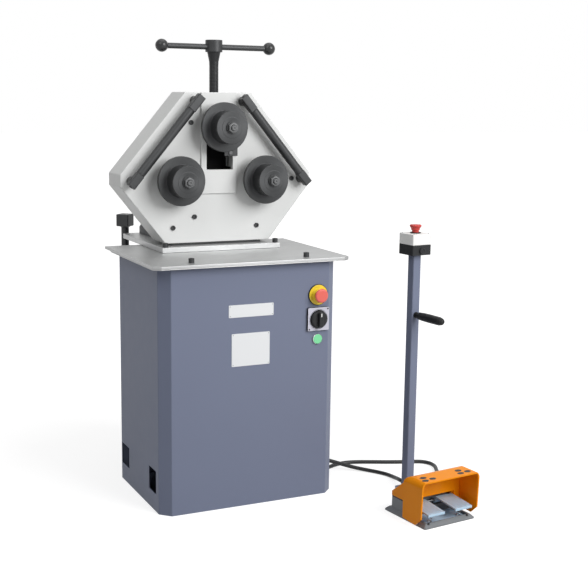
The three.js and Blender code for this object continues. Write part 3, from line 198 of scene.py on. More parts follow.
def hexagon(flats, steps=SMALL_ROUND, limit=None):
    """A hexagon given by its flats, with as many points as a circle has. A limit cuts its corners round."""
    points = []
    for i in range(steps):
        angle = 2 * math.pi * i / steps
        from_flat = (angle + math.pi / 6) % (math.pi / 3) - math.pi / 6
        radius = flats / 2 / math.cos(from_flat)
        radius = radius if limit is None else min(radius, limit)
        points.append((radius * math.cos(angle), radius * math.sin(angle)))
    return points


# Solids


def loft(loops, closed=False):
    """A skin through loops of as many points each, with both ends filled unless it closes on itself."""
    shape = bmesh.new()
    rings = [[shape.verts.new(point) for point in loop] for loop in loops]
    pairs = list(zip(rings, rings[1:]))
    if closed:
        pairs.append((rings[-1], rings[0]))
    for first, second in pairs:
        for i in range(len(first)):
            j = (i + 1) % len(first)
            shape.faces.new((first[i], first[j], second[j], second[i]))
    if not closed:
        shape.faces.new(reversed(rings[0]))
        shape.faces.new(rings[-1])
    return shape


def prism(outline, profile, corner=0.0, steps=4):
    """An outline drawn along z through a profile of [inset, height], with its corners rounded."""
    loops = []
    for distance, height in profile:
        points = inset(outline, distance)
        if corner > 0:
            points = rounded(points, max(corner - distance, 10 * TINY), steps)
        loops.append([(x, y, height) for x, y in points])
    return loft(loops)


def slab_profile(bottom, top, edge, steps=3):
    """The profile of a plate whose edges are rounded on both faces."""
    if edge <= 0:
        return [(0, bottom), (0, top)]
    lower = [(edge + x, bottom + edge + z) for x, z in arc((0, 0), edge, -90, -180, steps)]
    upper = [(edge + x, top - edge + z) for x, z in arc((0, 0), edge, 180, 90, steps)]
    return lower + upper


def plate(outline, bottom, top, edge=0.0008, corner=0.0, steps=4):
    """A plate with rounded edges."""
    return prism(outline, slab_profile(bottom, top, edge), corner, steps)


def block(x0, x1, y0, y1, z0, z1, edge=0.001, corner=0.0):
    """A block with rounded edges."""
    return plate(rectangle(x0, x1, y0, y1), z0, z1, edge, max(corner, edge), 3)


def lathe(profile, steps=ROUND):
    """A profile of (radius, height) turned about z. It starts and ends on the axis, or closes on itself."""
    shape = bmesh.new()
    rings = []
    for radius, height in profile:
        count = steps if radius > TINY else 1
        angles = [2 * math.pi * i / count for i in range(count)]
        rings.append([shape.verts.new((radius * math.cos(a), radius * math.sin(a), height)) for a in angles])
    pairs = list(zip(rings, rings[1:]))
    if len(rings[0]) > 1:
        pairs.append((rings[-1], rings[0]))
    for first, second in pairs:
        for i in range(steps):
            j = (i + 1) % steps
            corners = [first[i % len(first)], first[j % len(first)], second[j % len(second)],
                       second[i % len(second)]]
            corners = [v for k, v in enumerate(corners) if v not in corners[:k]]
            if len(corners) > 2:
                shape.faces.new(corners)
    return shape


def turned(points, edge=0.0008, steps=ROUND, soft=3):
    """A turned piece whose profile has rounded corners. Corners on the axis stay."""
    closed = points[0][0] > TINY
    radii = [edge if p[0] > TINY else 0 for p in points]
    return lathe(rounded(points, radii, soft, closed), steps)


def rod(radius, bottom, top, edge=0.0008, steps=SMALL_ROUND):
    """A round bar along z."""
    return turned([(0, bottom), (radius, bottom), (radius, top), (0, top)], edge, steps)


def tube(outer, inner, bottom, top, edge=0.0005, steps=SMALL_ROUND):
    """A round tube along z."""
    return turned([(inner, bottom), (outer, bottom), (outer, top), (inner, top)], edge, steps)


def threaded(radius, pitch, depth, bottom, top, steps=SMALL_ROUND):
    """A bar along z with a helical thread, run out to nothing over its last turn at each end."""
    rows = max(8, int((top - bottom) / pitch * 6))
    loops = []
    for row in range(rows + 1):
        height = bottom + (top - bottom) * row / rows
        fade = min(1.0, (height - bottom) / pitch, (top - height) / pitch)
        loop = []
        for i in range(steps):
            phase = (height / pitch - i / steps) % 1.0
            reach = radius - depth * fade * abs(2 * phase - 1)
            angle = 2 * math.pi * i / steps
            loop.append((reach * math.cos(angle), reach * math.sin(angle), height))
        loops.append(loop)
    return loft(loops)


def moved(shape, place):
    """The same shape somewhere else."""
    bmesh.ops.transform(shape, matrix=place, verts=shape.verts)
    return shape


def merged(*shapes):
    """Shapes that stay apart, in one mesh."""
    result = bmesh.new()
    for shape in shapes:
        carrier = bpy.data.meshes.new("carrier")
        shape.to_mesh(carrier)
        shape.free()
        result.from_mesh(carrier)
        bpy.data.meshes.remove(carrier)
    return result


def shaped(base, tools, operation="DIFFERENCE"):
    """The base cut by the tools, joined with them or kept inside them."""
    parts = []
    for shape in (base, *tools):
        bmesh.ops.recalc_face_normals(shape, faces=shape.faces)
        mesh = bpy.data.meshes.new("tool")
        shape.to_mesh(mesh)
        shape.free()
        part = bpy.data.objects.new("tool", mesh)
        bpy.context.scene.collection.objects.link(part)
        parts.append(part)
    for tool in parts[1:]:
        modifier = parts[0].modifiers.new("shape", "BOOLEAN")
        modifier.operation = operation
        modifier.solver = "EXACT"
        modifier.object = tool
    bpy.context.view_layer.update()
    result = bmesh.new()
    result.from_mesh(parts[0].evaluated_get(bpy.context.evaluated_depsgraph_get()).to_mesh())
    for part in parts:
        mesh = part.data
        bpy.data.objects.remove(part)
        bpy.data.meshes.remove(mesh)
    bmesh.ops.remove_doubles(result, verts=result.verts, dist=0.00001)
    return result


def piece(name, shape, place, slot, body, replaces=(), look=None):
    """Makes a named piece of a shape, with its slot's finish or another look, that rides on a body."""
    bmesh.ops.recalc_face_normals(shape, faces=shape.faces)
    mesh = bpy.data.meshes.new(name)
    shape.to_mesh(mesh)
    shape.free()
    mesh.shade_smooth()
    mesh.set_sharp_from_angle(angle=SHARP)
    mesh.materials.append(finish(look or slot))
    made = bpy.data.objects.new(name, mesh)
    bpy.context.scene.collection.objects.link(made)
    made.matrix_world = place
    made.modifiers.new("even shading", "WEIGHTED_NORMAL").keep_sharp = True
    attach(made, body)
    if replaces:
        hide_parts(*replaces)
    return made


def paint_node(node, slot):
    """Gives a piece of the frame that stays its finish."""
    materials = frame["nodes"][node].data.materials
    materials.clear()
    materials.append(finish(slot))


# Fasteners


def socket_screw(radius, height, flats, depth):
    """The head of a socket screw, standing on z = 0."""
    edge = 0.08 * radius
    loops = [
        [(x, y, 0) for x, y in circle(radius)],
        [(x, y, height - edge) for x, y in circle(radius)],
        [(x, y, height) for x, y in circle(radius - edge)],
        [(x, y, height) for x, y in hexagon(flats + edge)],
        [(x, y, height - edge / 2) for x, y in hexagon(flats)],
        [(x, y, height - depth) for x, y in hexagon(flats)],
    ]
    return loft(loops)


def hexagonal(flats, height):
    """The loops of a hexagon bar that stands on z = 0, with the corners of its top turned off."""
    full = flats / (2 * math.cos(math.pi / 6))
    face = 0.46 * flats
    loops = [[(x, y, 0) for x, y in hexagon(flats)]]
    for i in range(6):
        limit = full + (face - full) * i / 5
        rise = height - (limit - face) * math.tan(math.radians(30))
        loops.append([(x, y, rise) for x, y in hexagon(flats, limit=limit)])
    return loops


def hex_head(flats, height):
    """The head of a hexagon bolt, standing on z = 0."""
    return loft(hexagonal(flats, height))


def hex_nut(flats, height, bore):
    """A hexagon nut standing on z = 0, with a chamfer round its bore."""
    chamfer = 0.001
    loops = hexagonal(flats, height)
    loops.append([(x, y, height) for x, y in circle(bore + chamfer)])
    loops.append([(x, y, height - chamfer) for x, y in circle(bore)])
    loops.append([(x, y, 0) for x, y in circle(bore)])
    return loft(loops, closed=True)


SCREWS = {
    "panel": (0.0048, 0.003, 0.004, 0.002),
    "gland": (0.003, 0.002, 0.0025, 0.0012),
    "switch": (0.0022, 0.0009, 0.0018, 0.0006),
    "back": (0.0055, 0.004, 0.005, 0.0025),
    "terminal": (0.003, 0.0015, 0.0025, 0.001),
    "foot": (0.0035, 0.003, 0.003, 0.002),
    "station": (0.0026, 0.0008, 0.002, 0.0005),
}  # radius and height of the head, width and depth of the socket


def screws(name, size, places, slot, body):
    """Socket screws of one size, numbered from 1."""
    for number, place in enumerate(places, 1):
        piece(f"{name}_{number}", socket_screw(*SCREWS[size]), place, slot, body)


# Settings


def distance(name, description, default):
    """A length that the sidebar offers."""
    return FloatProperty(name=name, description=description, default=default, unit="LENGTH", precision=4)


def colour(name, description, code):
    """A colour that the sidebar offers, given as a web colour and kept as linear light."""
    parts = [(code >> shift & 255) / 255 for shift in (16, 8, 0)]
    linear = [part / 12.92 if part <= 0.04045 else ((part + 0.055) / 1.055) ** 2.4 for part in parts]
    return FloatVectorProperty(name=name, description=description, default=linear, subtype="COLOR",
                               min=0, max=1)


class RINGROLLER_PG_colours(bpy.types.PropertyGroup):
    """The colour of each finish."""

    cabinet_paint: colour("Cabinet", "Fine-textured powder coat of the cabinet, stand and post", 0x747B90)
    table_paint: colour("Table", "Silver enamel of the table and the base plate", 0xB2B3B3)
    casing_paint: colour("Casing", "Pale enamel of the head", 0xDADBDA)
    drive_paint: colour("Drive", "Dark enamel of the bracket, gearbox and motor", 0x3A3C3F)
    orange_paint: colour("Guard", "Orange enamel of the foot guard", 0xF4920A)
    black_oxide: colour("Black oxide", "Blackened steel", 0x3C3D3E)
    roll_steel: colour("Rollers", "Fine-turned tool steel", 0x3E3F40)
    bright_steel: colour("Bright steel", "Ground steel", 0x8C8D8F)
    spring_steel: colour("Springs", "Spring wire", 0xC0C2C4)
    zinc_plate: colour("Zinc", "Galvanised sheet", 0x9EA3A6)
    cast_aluminium: colour("Cast aluminium", "Blasted casting", 0x797C7F)
    bronze: colour("Bronze", "Feed nut", 0xA88140)
    chrome_ring: colour("Chrome", "Plated ring", 0xC8CACC)
    black_plastic: colour("Black plastic", "Moulded black plastic", 0x1D1E20)
    ball_plastic: colour("Balls", "Polished black plastic", 0x252627)
    grip_plastic: colour("Grip", "Satin black plastic", 0x0F1011)
    white_plastic: colour("White plastic", "Moulded white plastic", 0xF0F0EE)
    red_plastic: colour("Red plastic", "Moulded red plastic", 0xC23A34)
    yellow_plastic: colour("Yellow plastic", "Moulded yellow plastic", 0xEED23A)
    green_plastic: colour("Green plastic", "Lens of the start button", 0x7EDCA0)
    cable_rubber: colour("Cables", "Cable sheath", 0x0E0F11)
    stop_red: colour("Stop button", "Pale red plastic of the stop button on the cabinet", 0xE4685C)
    pedal_aluminium: colour("Pedals", "Satin aluminium of the pedals", 0xB4CEE2)
    selector_face: colour("Selector face", "Pale face of the main switch", 0xC9C9D6)
    screw_steel: colour("Feed screw", "Oiled steel of the feed screw", 0x262728)
    # Near-black for the slide, its arm and the groove strips and sheet behind the window: the slide's own
    # blackened colour, darkened as painted shade inside the casing.
    slide_black: colour("Slide", "Black inside of the head", 0x0A0A0B)
    stud_steel: colour("Studs", "Dull steel of the studs and nuts", 0x5C5D5E)
    label_plate: colour("Plates", "Blank aluminium plates", 0xE4E6E8)


class RINGROLLER_PG_cabinet(bpy.types.PropertyGroup):
    """Sizes of the cabinet's looks."""

    sheet: distance("Sheet", "Thickness of the cabinet's sheet", 0.002)
    chamfer: distance("Chamfer", "Width of the cut-off front corners", 0.0285)
    fold: distance("Fold", "Outer radius of the sheet's folds", 0.004)
    rim: distance("Rim", "Width of the flange under the table", 0.040)
    opening_width: distance("Opening width", "Width of the opening in the back", 0.260)
    opening_bottom: distance("Opening bottom", "Lower edge of the opening in the back", 0.070)
    opening_top: distance("Opening top", "Upper edge of the opening in the back", 0.640)
    louvres: IntProperty(name="Louvres", description="Number of louvres in the back panel", default=8, min=0)
    louvre_pitch: distance("Louvre pitch", "Distance from one louvre to the next", 0.014)
    slot_corner: distance("Slot corner", "Radius of the side slots' corners", 0.004)


class RINGROLLER_PG_controls(bpy.types.PropertyGroup):
    """Sizes of the controls' looks."""

    barrel: distance("Barrel", "Radius of the threaded barrels", 0.011)
    depth: distance("Depth", "How far the barrels reach into the cabinet", 0.026)
    stem: distance("Stem", "Radius of the stems that move", 0.006)
    disc: distance("Disc", "Radius of the black base below the yellow disc", 0.0300)
    mushroom: distance("Mushroom", "Radius of the stop button's head", 0.0200)
    start_travel: distance("Start travel", "How far the start button can be pushed", 0.003)
    face_border: distance("Face border", "What the selector's plate shows round its pale face", 0.0005)
    grip: distance("Grip", "Width of the selector's grip", 0.012)


class RINGROLLER_PG_table(bpy.types.PropertyGroup):
    """Sizes of the looks of the table and the base plate."""

    chamfer_x: distance("Corner across", "Width of the table's cut-off front corners", 0.020)
    chamfer_y: distance("Corner depth", "Depth of the table's cut-off front corners", 0.015)
    edge: distance("Edge", "Radius of the plates' edges", 0.0012)
    rear_corner: distance("Rear corner", "Size of the base plate's cut-off rear corners", 0.008)
    land_width: distance("Land width", "Width of the land under the casing", 0.280)
    land_front: distance("Land front", "Front of the land", 0.080)
    land_rear: distance("Land rear", "Rear of the land", 0.150)
    land_height: distance("Land height", "Height of the land", 0.0064)
    rim_drop: distance("Rim drop", "How far the rim reaches below the table", 0.0028)
    rim_width: distance("Rim width", "Width of the rim under the table", 0.008)
    rim_gap: distance("Rim gap", "Length at the table's rear without a rim", 0.060)
    screw_x: distance("Screw place", "Distance of the screws from the middle", 0.1715)
    screw_radius: distance("Screw radius", "Radius of the socket screws' heads", 0.008)
    screw_height: distance("Screw height", "Height of the socket screws' heads", 0.0125)


class RINGROLLER_PG_casing(bpy.types.PropertyGroup):
    """Sizes of the casing's looks."""

    top_width: distance("Top width", "Width of the casing's top", 0.202)
    bottom_width: distance("Bottom width", "Width of the casing's foot", 0.324)
    wide_low: distance("Lower shoulder", "Height of the lower shoulder above the foot", 0.164)
    wide_high: distance("Upper shoulder", "Height of the upper shoulder above the foot", 0.199)
    wall: distance("Wall", "Thickness of the front plate", 0.010)
    rim: distance("Rim", "Thickness of the side walls", 0.006)
    edge: distance("Edge", "Radius of the casing's edges", 0.0028)
    window_left: distance("Window's left", "Left edge of the slide's window", -0.0386)
    window_right: distance("Window's right", "Right edge of the slide's window", 0.043)
    window_height: distance("Window height", "Height of the slide's window", 0.1655)
    window_drop: distance("Window drop", "Distance of the window from the casing's top", 0.054)
    screw_radius: distance("Screw radius", "Radius of the casing screws' heads", 0.007)


class RINGROLLER_PG_rollers(bpy.types.PropertyGroup):
    """Sizes of the rollers' looks."""

    edge: distance("Edge", "Radius of the rollers' edges", 0.0015)
    thread_pitch: distance("Thread pitch", "Pitch of the threads on the shafts' ends", 0.0018)
    centre_hole: distance("Centre hole", "Radius of the centre hole in each shaft's end", 0.0025)
    nut_flats: distance("Nut flats", "Size of the nuts across their flats", 0.027)
    nut_height: distance("Nut height", "Height of the nuts", 0.0092)


class RINGROLLER_PG_feed(bpy.types.PropertyGroup):
    """Sizes of the looks of the slide, the screw and the handle."""

    pitch: distance("Pitch", "Pitch of the feed screw", 0.004)
    thread_depth: distance("Thread depth", "Depth of the feed screw's thread", 0.0008)
    hub_radius: distance("Hub radius", "Radius of the hub that holds the handle", 0.0245)
    handle_radius: distance("Handle radius", "Radius of the handle bar", 0.008)
    ball_radius: distance("Ball radius", "Radius of the balls on the handle", 0.0182)


class RINGROLLER_PG_guides(bpy.types.PropertyGroup):
    """Sizes of the looks of the side guides."""

    upper_x: distance("Upper end", "Distance of a guide's upper end from the middle", 0.0635)
    upper_drop: distance("Upper drop", "Distance of the upper end below the casing's top", 0.0109)
    lower_x: distance("Lower end", "Distance of a guide's lower end from the middle", 0.2735)
    lower_rise: distance("Lower rise", "Height of the lower end above the casing's foot", 0.1675)
    block_side: distance("Block side", "Side of the square blocks at a guide's ends", 0.0245)
    upper_block: distance("Upper block", "Length of the upper block", 0.050)
    lower_block: distance("Lower block", "Length of the lower block", 0.043)
    sleeve_radius: distance("Sleeve radius", "Radius of the turning sleeves", 0.013)
    stud_radius: distance("Stud radius", "Radius of the studs behind a guide", 0.0135)
    upper_stud: distance("Upper stud", "Distance of the upper stud from the guide's upper end", 0.017)
    lower_stud: distance("Lower stud", "Distance of the lower stud from the guide's lower end", 0.017)


class RINGROLLER_PG_drive(bpy.types.PropertyGroup):
    """Sizes of the looks of the drive behind the head."""

    plate: distance("Plate", "Thickness of the bracket's plates", 0.010)
    fin: distance("Fin", "Height of the motor's cooling fins", 0.004)
    fins: IntProperty(name="Fins", description="Number of cooling fins round the motor", default=36,
                      min=8)
    cowl_slots: IntProperty(name="Cowl slots", description="Number of slots in the fan cowl", default=10,
                            min=4)
    bolt_flats: distance("Bolt flats", "Size of the bracket's bolts across their flats", 0.013)


class RINGROLLER_PG_foot(bpy.types.PropertyGroup):
    """Sizes of the looks of the foot switch."""

    turn: FloatProperty(name="Turn", description="How far the foot switch is turned",
                        default=math.radians(6.6), subtype="ANGLE")
    width: distance("Width", "Width of the base casting", 0.175)
    depth: distance("Depth", "Depth of the base casting", 0.181)
    wall: distance("Wall", "Thickness of the guard", 0.004)
    guard_corner: distance("Guard corner", "Radius of the guard's upper corners", 0.020)
    pedal_thickness: distance("Pedal thickness", "Thickness of the pedals", 0.005)
    rib_pitch: distance("Rib pitch", "Distance between the ribs on the pedals", 0.0065)
    wire: distance("Wire", "Thickness of the spring wire", 0.0022)
    curls: IntProperty(name="Curls", description="Number of turns of each spring", default=5, min=2)


class RINGROLLER_PG_station(bpy.types.PropertyGroup):
    """Sizes of the looks of the post and its control station."""

    post_wall: distance("Post wall", "Thickness of the post's wall", 0.002)
    post_corner: distance("Post corner", "Radius of the post's corners", 0.003)
    box_corner: distance("Box corner", "Radius of the station's corners", 0.004)
    box_wall: distance("Box wall", "Thickness of the station's walls", 0.003)
    grip_radius: distance("Grip radius", "Radius of the grip", 0.0125)


class RINGROLLER_PG_cables(bpy.types.PropertyGroup):
    """Sizes of the cables."""

    radius: distance("Radius", "Radius of the cables", 0.006)


class RINGROLLER_PG_stage(bpy.types.PropertyGroup):
    """The light and the floor."""

    ambient: FloatProperty(name="Ambient", description="Strength of the light from all sides", default=0.18)
    key_light: FloatProperty(name="Key light", description="Power of the lamp in front, on the right",
                             default=144, unit="POWER")
    fill_light: FloatProperty(name="Fill light", description="Power of the lamp high on the left",
                              default=34, unit="POWER")
    top_light: FloatProperty(name="Top light", description="Power of the lamp overhead",
                             default=26, unit="POWER")
    floor_glow: FloatProperty(name="Floor glow", default=0.76,
                              description="Light that the floor adds where it is looked at")
    floor_size: distance("Floor", "Side of the floor", 60.0)
    focal_length: FloatProperty(name="Focal length", description="Focal length of the camera in millimetres",
                                default=69.0)


# Finishes


FINISHED = "_finish"  # after a slot's name, in the name of its material


class Finish:
    """The node layout of one procedural material."""

    def __init__(self, slot, roughness, metallic=0.0):
        self.material = bpy.data.materials.new(f"{slot}{FINISHED}")
        self.material.use_nodes = True
        self.tree = self.material.node_tree
        self.shader = self.tree.nodes["Principled BSDF"]
        self.base = Vector(getattr(bpy.context.scene.ring_roller_colours, slot))
        self.shader.inputs["Metallic"].default_value = metallic
        self.shader.inputs["Roughness"].default_value = roughness
        self.roughness = roughness
        self.place = self.node("TexCoord").outputs["Object"]

    def node(self, kind, **values):
        """Adds a node and sets its options."""
        made = self.tree.nodes.new(f"ShaderNode{kind}")
        for name, value in values.items():
            setattr(made, name, value)
        return made

    def link(self, start, node, name):
        """Links a value to an input of a node."""
        self.tree.links.new(start, node.inputs[name])

    def sum(self, operation, first, second):
        """A sum of two values, of which the second is a number or a socket."""
        made = self.node("Math", operation=operation)
        self.tree.links.new(first, made.inputs[0])
        if isinstance(second, (int, float)):
            made.inputs[1].default_value = second
        else:
            self.tree.links.new(second, made.inputs[1])
        return made.outputs[0]

    def noise(self, scale, detail=3.0, stretch=None):
        """Noise between 0 and 1, stretched along the piece's axes if asked."""
        texture = self.node("TexNoise")
        texture.inputs["Scale"].default_value = scale
        texture.inputs["Detail"].default_value = detail
        place = self.place
        if stretch:
            mapping = self.node("Mapping")
            mapping.inputs["Scale"].default_value = stretch
            self.link(place, mapping, "Vector")
            place = mapping.outputs[0]
        self.link(place, texture, "Vector")
        return texture.outputs["Fac"]

    def rings(self, scale):
        """Noise that changes only away from the piece's axis and along it, as a lathe leaves it."""
        parts = self.node("SeparateXYZ")
        self.link(self.place, parts, 0)
        squares = [self.sum("POWER", parts.outputs[i], 2) for i in (0, 1)]
        radius = self.sum("POWER", self.sum("ADD", *squares), 0.5)
        texture = self.node("TexNoise", noise_dimensions="1D")
        texture.inputs["Scale"].default_value = scale
        texture.inputs["Detail"].default_value = 4
        self.link(self.sum("ADD", radius, parts.outputs[2]), texture, "W")
        return texture.outputs["Fac"]

    def between(self, value, low, high):
        """A value from 0 to 1 spread over another range."""
        spread = self.node("MapRange")
        spread.inputs["To Min"].default_value = low
        spread.inputs["To Max"].default_value = high
        self.link(value, spread, "Value")
        return spread.outputs[0]

    def tint(self, value, amount):
        """Makes the colour a little darker and lighter."""
        mix = self.node("Mix", data_type="RGBA")
        mix.inputs["A"].default_value = (*(self.base * (1 - amount)), 1)
        mix.inputs["B"].default_value = (*[min(1.0, part * (1 + amount)) for part in self.base], 1)
        self.link(value, mix, "Factor")
        self.link(mix.outputs["Result"], self.shader, "Base Color")

    def gloss(self, value, amount):
        """Makes the surface a little rougher and smoother."""
        spread = self.between(value, self.roughness - amount, self.roughness + amount)
        self.link(spread, self.shader, "Roughness")

    def bump(self, value, height, strength=1.0):
        """Raises the surface by a height in metres where the value is 1."""
        bump = self.node("Bump")
        bump.inputs["Strength"].default_value = strength
        bump.inputs["Distance"].default_value = height
        self.link(value, bump, "Height")
        self.link(bump.outputs[0], self.shader, "Normal")

    def streaks(self, amount):
        """Stretches reflections round the piece's axis, as on turned metal."""
        self.shader.inputs["Anisotropic"].default_value = amount
        tangent = self.node("Tangent", direction_type="RADIAL", axis="Z")
        self.link(tangent.outputs[0], self.shader, "Tangent")

    def dull(self, level):
        """Weakens the reflection."""
        self.shader.inputs["Specular IOR Level"].default_value = level

    def varnish(self, weight, roughness):
        """Adds a clear coat."""
        self.shader.inputs["Coat Weight"].default_value = weight
        self.shader.inputs["Coat Roughness"].default_value = roughness


SURFACES = {
    "powder coat": {"roughness": 0.5, "level": 0.22, "tint": (6, 2, 0.02), "gloss": (40, 0.05),
                    "bump": (900, 2, 0.00004, 0.35)},
    "enamel": {"roughness": 0.42, "tint": (5, 2, 0.015), "gloss": (30, 0.05),
               "bump": (350, 2, 0.00004, 0.25)},
    "blackened steel": {"roughness": 0.42, "metallic": 0.45, "level": 0.35, "tint": (45, 5, 0.18),
                        "gloss": (90, 0.10), "bump": (1200, 2, 0.00003, 0.3)},
    # A very dark, dull finish that paints the shade inside the head.
    "painted shade black": {"roughness": 0.7, "level": 0.1, "tint": (60, 3, 0.2), "gloss": (120, 0.08)},
    "ground steel": {"roughness": 0.28, "metallic": 0.95, "tint": (60, 4, 0.06), "gloss": (140, 0.06),
                     "bump": (1500, 2, 0.00002, 0.3)},
    "blasted casting": {"roughness": 0.5, "metallic": 0.15, "level": 0.25, "tint": (25, 3, 0.05),
                        "gloss": (200, 0.08), "bump": (1100, 3, 0.00008, 0.5)},
    "bright plating": {"roughness": 0.22, "metallic": 0.8, "tint": (20, 2, 0.03), "gloss": (120, 0.03)},
    "moulded plastic": {"roughness": 0.42, "level": 0.28, "tint": (18, 2, 0.03), "gloss": (150, 0.04),
                        "bump": (1600, 2, 0.00003, 0.3)},
    "polished plastic": {"roughness": 0.25, "level": 0.4, "tint": (14, 2, 0.03), "gloss": (30, 0.03)},
    "cable sheath": {"roughness": 0.42, "tint": (30, 3, 0.15), "gloss": (60, 0.06),
                     "bump": (240, 2, 0.0001, 0.2)},
}  # tint: scale, detail and amount; gloss: scale and amount; bump: scale, detail, height and strength


def surface(slot, roughness, metallic=0.0, level=0.5, tint=None, gloss=None, bump=None):
    """A finish whose colour, gloss and height each follow a noise of their own."""
    made = Finish(slot, roughness, metallic)
    made.dull(level)
    made.tint(made.noise(*tint[:2]), tint[2])
    made.gloss(made.noise(gloss[0]), gloss[1])
    if bump:
        made.bump(made.noise(*bump[:2]), *bump[2:])


def silver_enamel(slot):
    """Silver paint with fine metal flakes in it, faint clouds from rolling, and a painted sheen that is
    lighter in the middle and darker towards both ends along x.
    """
    paint = Finish(slot, 0.40, 0.65)
    parts = paint.node("SeparateXYZ")
    paint.link(paint.place, parts, 0)
    # Painted sheen: a broad reflection, lighter at x = 0 and darker towards both ends.
    painted_sheen = paint.sum("MULTIPLY_ADD", paint.sum("ABSOLUTE", parts.outputs[0], 0), -2)
    painted_sheen.node.inputs[2].default_value = 0.5
    clouds = paint.sum("MULTIPLY", paint.noise(16, 3, (0.3, 1, 1)), 0.5)
    paint.tint(paint.sum("ADD", painted_sheen, clouds), 0.22)
    paint.gloss(paint.noise(60), 0.06)
    paint.bump(paint.noise(700, 2), 0.00004, 0.25)


def gloss_enamel(slot):
    """Thick glossy paint."""
    paint = Finish(slot, 0.34)
    paint.dull(0.08)
    paint.tint(paint.noise(12, 2), 0.03)
    paint.varnish(0.07, 0.1)
    paint.bump(paint.noise(220, 2), 0.00006, 0.25)


def turned_steel(slot):
    """Steel with the fine rings that a lathe leaves."""
    steel = Finish(slot, 0.42, 0.55)
    steel.dull(0.3)
    rings = steel.rings(2600)
    steel.tint(rings, 0.12)
    steel.gloss(steel.noise(50), 0.05)
    steel.bump(rings, 0.00004, 0.4)
    steel.streaks(0.6)


def galvanised(slot):
    """Zinc with its pale flowers."""
    zinc = Finish(slot, 0.42, 0.8)
    flowers = zinc.node("TexVoronoi")
    flowers.inputs["Scale"].default_value = 120
    zinc.link(zinc.place, flowers, "Vector")
    zinc.tint(flowers.outputs["Distance"], 0.10)
    zinc.gloss(zinc.noise(90), 0.08)


def brushed(slot):
    """Satin aluminium, brushed from front to back."""
    metal = Finish(slot, 0.5, 0.1)
    metal.dull(0.2)
    grain = metal.noise(420, 3, (1, 0.03, 1))
    metal.tint(grain, 0.12)
    metal.gloss(grain, 0.08)
    metal.bump(grain, 0.00005, 0.4)


def bronzed(slot):
    """Machined bronze."""
    metal = Finish(slot, 0.35, 0.9)
    metal.tint(metal.noise(30, 3), 0.10)
    metal.bump(metal.rings(2200), 0.00003, 0.3)


FINISHES = {
    "cabinet_paint": "powder coat",
    "table_paint": silver_enamel,
    "casing_paint": "enamel",
    "drive_paint": "enamel",
    "orange_paint": gloss_enamel,
    "black_oxide": "blackened steel",
    "roll_steel": turned_steel,
    "bright_steel": "ground steel",
    "spring_steel": "ground steel",
    "zinc_plate": galvanised,
    "cast_aluminium": "blasted casting",
    "bronze": bronzed,
    "chrome_ring": "bright plating",
    "black_plastic": "moulded plastic",
    "ball_plastic": "polished plastic",
    "grip_plastic": "moulded plastic",
    "white_plastic": "moulded plastic",
    "red_plastic": "polished plastic",
    "yellow_plastic": "polished plastic",
    "green_plastic": "polished plastic",
    "cable_rubber": "cable sheath",
    "stop_red": "polished plastic",
    "slide_black": "painted shade black",
    "stud_steel": "blackened steel",
    "screw_steel": "blackened steel",
    "pedal_aluminium": brushed,
    "label_plate": "enamel",
    "selector_face": "moulded plastic",
}


def finish(slot):
    """The material of a slot."""
    return bpy.data.materials[f"{slot}{FINISHED}"]


# Cabinet


LEFT_TO_RIGHT = 1.0  # longer than anything that a cutting tool has to cross


def through(outline, start, end, place, corner=0.0):
    """A cutting tool: an outline drawn straight from start to end."""
    return moved(plate(outline, start, end, edge=0, corner=corner), place)


SIDE_SLOTS = ((-0.134, -0.073, 0.117), (0.108, 0.178, 0.113))  # front, rear and top edge of each
SLOT_BOTTOM = 0.050


def cabinet_shell(settings):
    """Folded sheet with a flange under the table, an opening in the back and slots in its sides."""
    lo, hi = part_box("cabinet_body")
    outline = cut_front(lo, hi, settings.chamfer, settings.chamfer)
    sheet, fold = settings.sheet, settings.fold
    half = settings.opening_width / 2
    opening = rectangle(-half, half, settings.opening_bottom, settings.opening_top)
    tools = [
        prism(inset(outline, sheet), [(0, lo.z + sheet), (0, hi.z - sheet)], fold - sheet, 5),
        prism(inset(outline, settings.rim), [(0, hi.z - 2 * sheet), (0, hi.z + sheet)], fold, 3),
        through(opening, -2 * sheet, 2 * sheet, facing((0, hi.y, 0), "back"), settings.slot_corner),
    ]
    for front, rear, top in SIDE_SLOTS:
        slot = rectangle(front, rear, SLOT_BOTTOM, top)
        sideways = facing((0, 0, 0), "right")
        tools.append(through(slot, -LEFT_TO_RIGHT, LEFT_TO_RIGHT, sideways, settings.slot_corner))
    barrel = bpy.context.scene.ring_roller_controls.barrel + GAP
    for node in ("estop_button", "switch_knob", "start_button"):
        at = middle(node)
        tools.append(through(circle(barrel), -5 * sheet, 5 * sheet, facing((at.x, lo.y, at.z), "front")))
    return shaped(prism(outline, slab_profile(lo.z, hi.z, 0.0006, 2), fold, 5), tools)


def back_panel(settings):
    """The panel over the opening, with louvres, and screws down its two sides."""
    lo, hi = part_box("cabinet_back")
    margin, cut = 0.008, 0.01
    louvre_half, louvre_height, louvre_corner = 0.06, 0.004, 0.0018
    first_louvre = hi.z - 0.10
    place = facing((0, lo.y, 0), "back")
    panel = moved(plate(rectangle(lo.x, hi.x, lo.z, hi.z), 0, hi.y - lo.y, 0.0006, 0.003), place)
    slots = []
    for row in range(settings.louvres):
        z = first_louvre - settings.louvre_pitch * row
        slot = rectangle(-louvre_half, louvre_half, z, z + louvre_height)
        slots.append(through(slot, -cut, cut, place, louvre_corner))
    piece("back_panel", shaped(panel, slots), Matrix(), "cabinet_paint", "root", ["cabinet_back"])
    left, right = lo.x + margin, hi.x - margin
    rows = (lo.z + margin, hi.z - margin, middle("cabinet_back").z)
    spots = [(left, rows[0]), (right, rows[0]), (right, rows[1]), (left, rows[1]), (left, rows[2]),
             (right, rows[2])]
    places = [facing((x, hi.y, z), "back") for x, z in spots]
    screws("back_panel_screw", "panel", places, "bright_steel", "root")


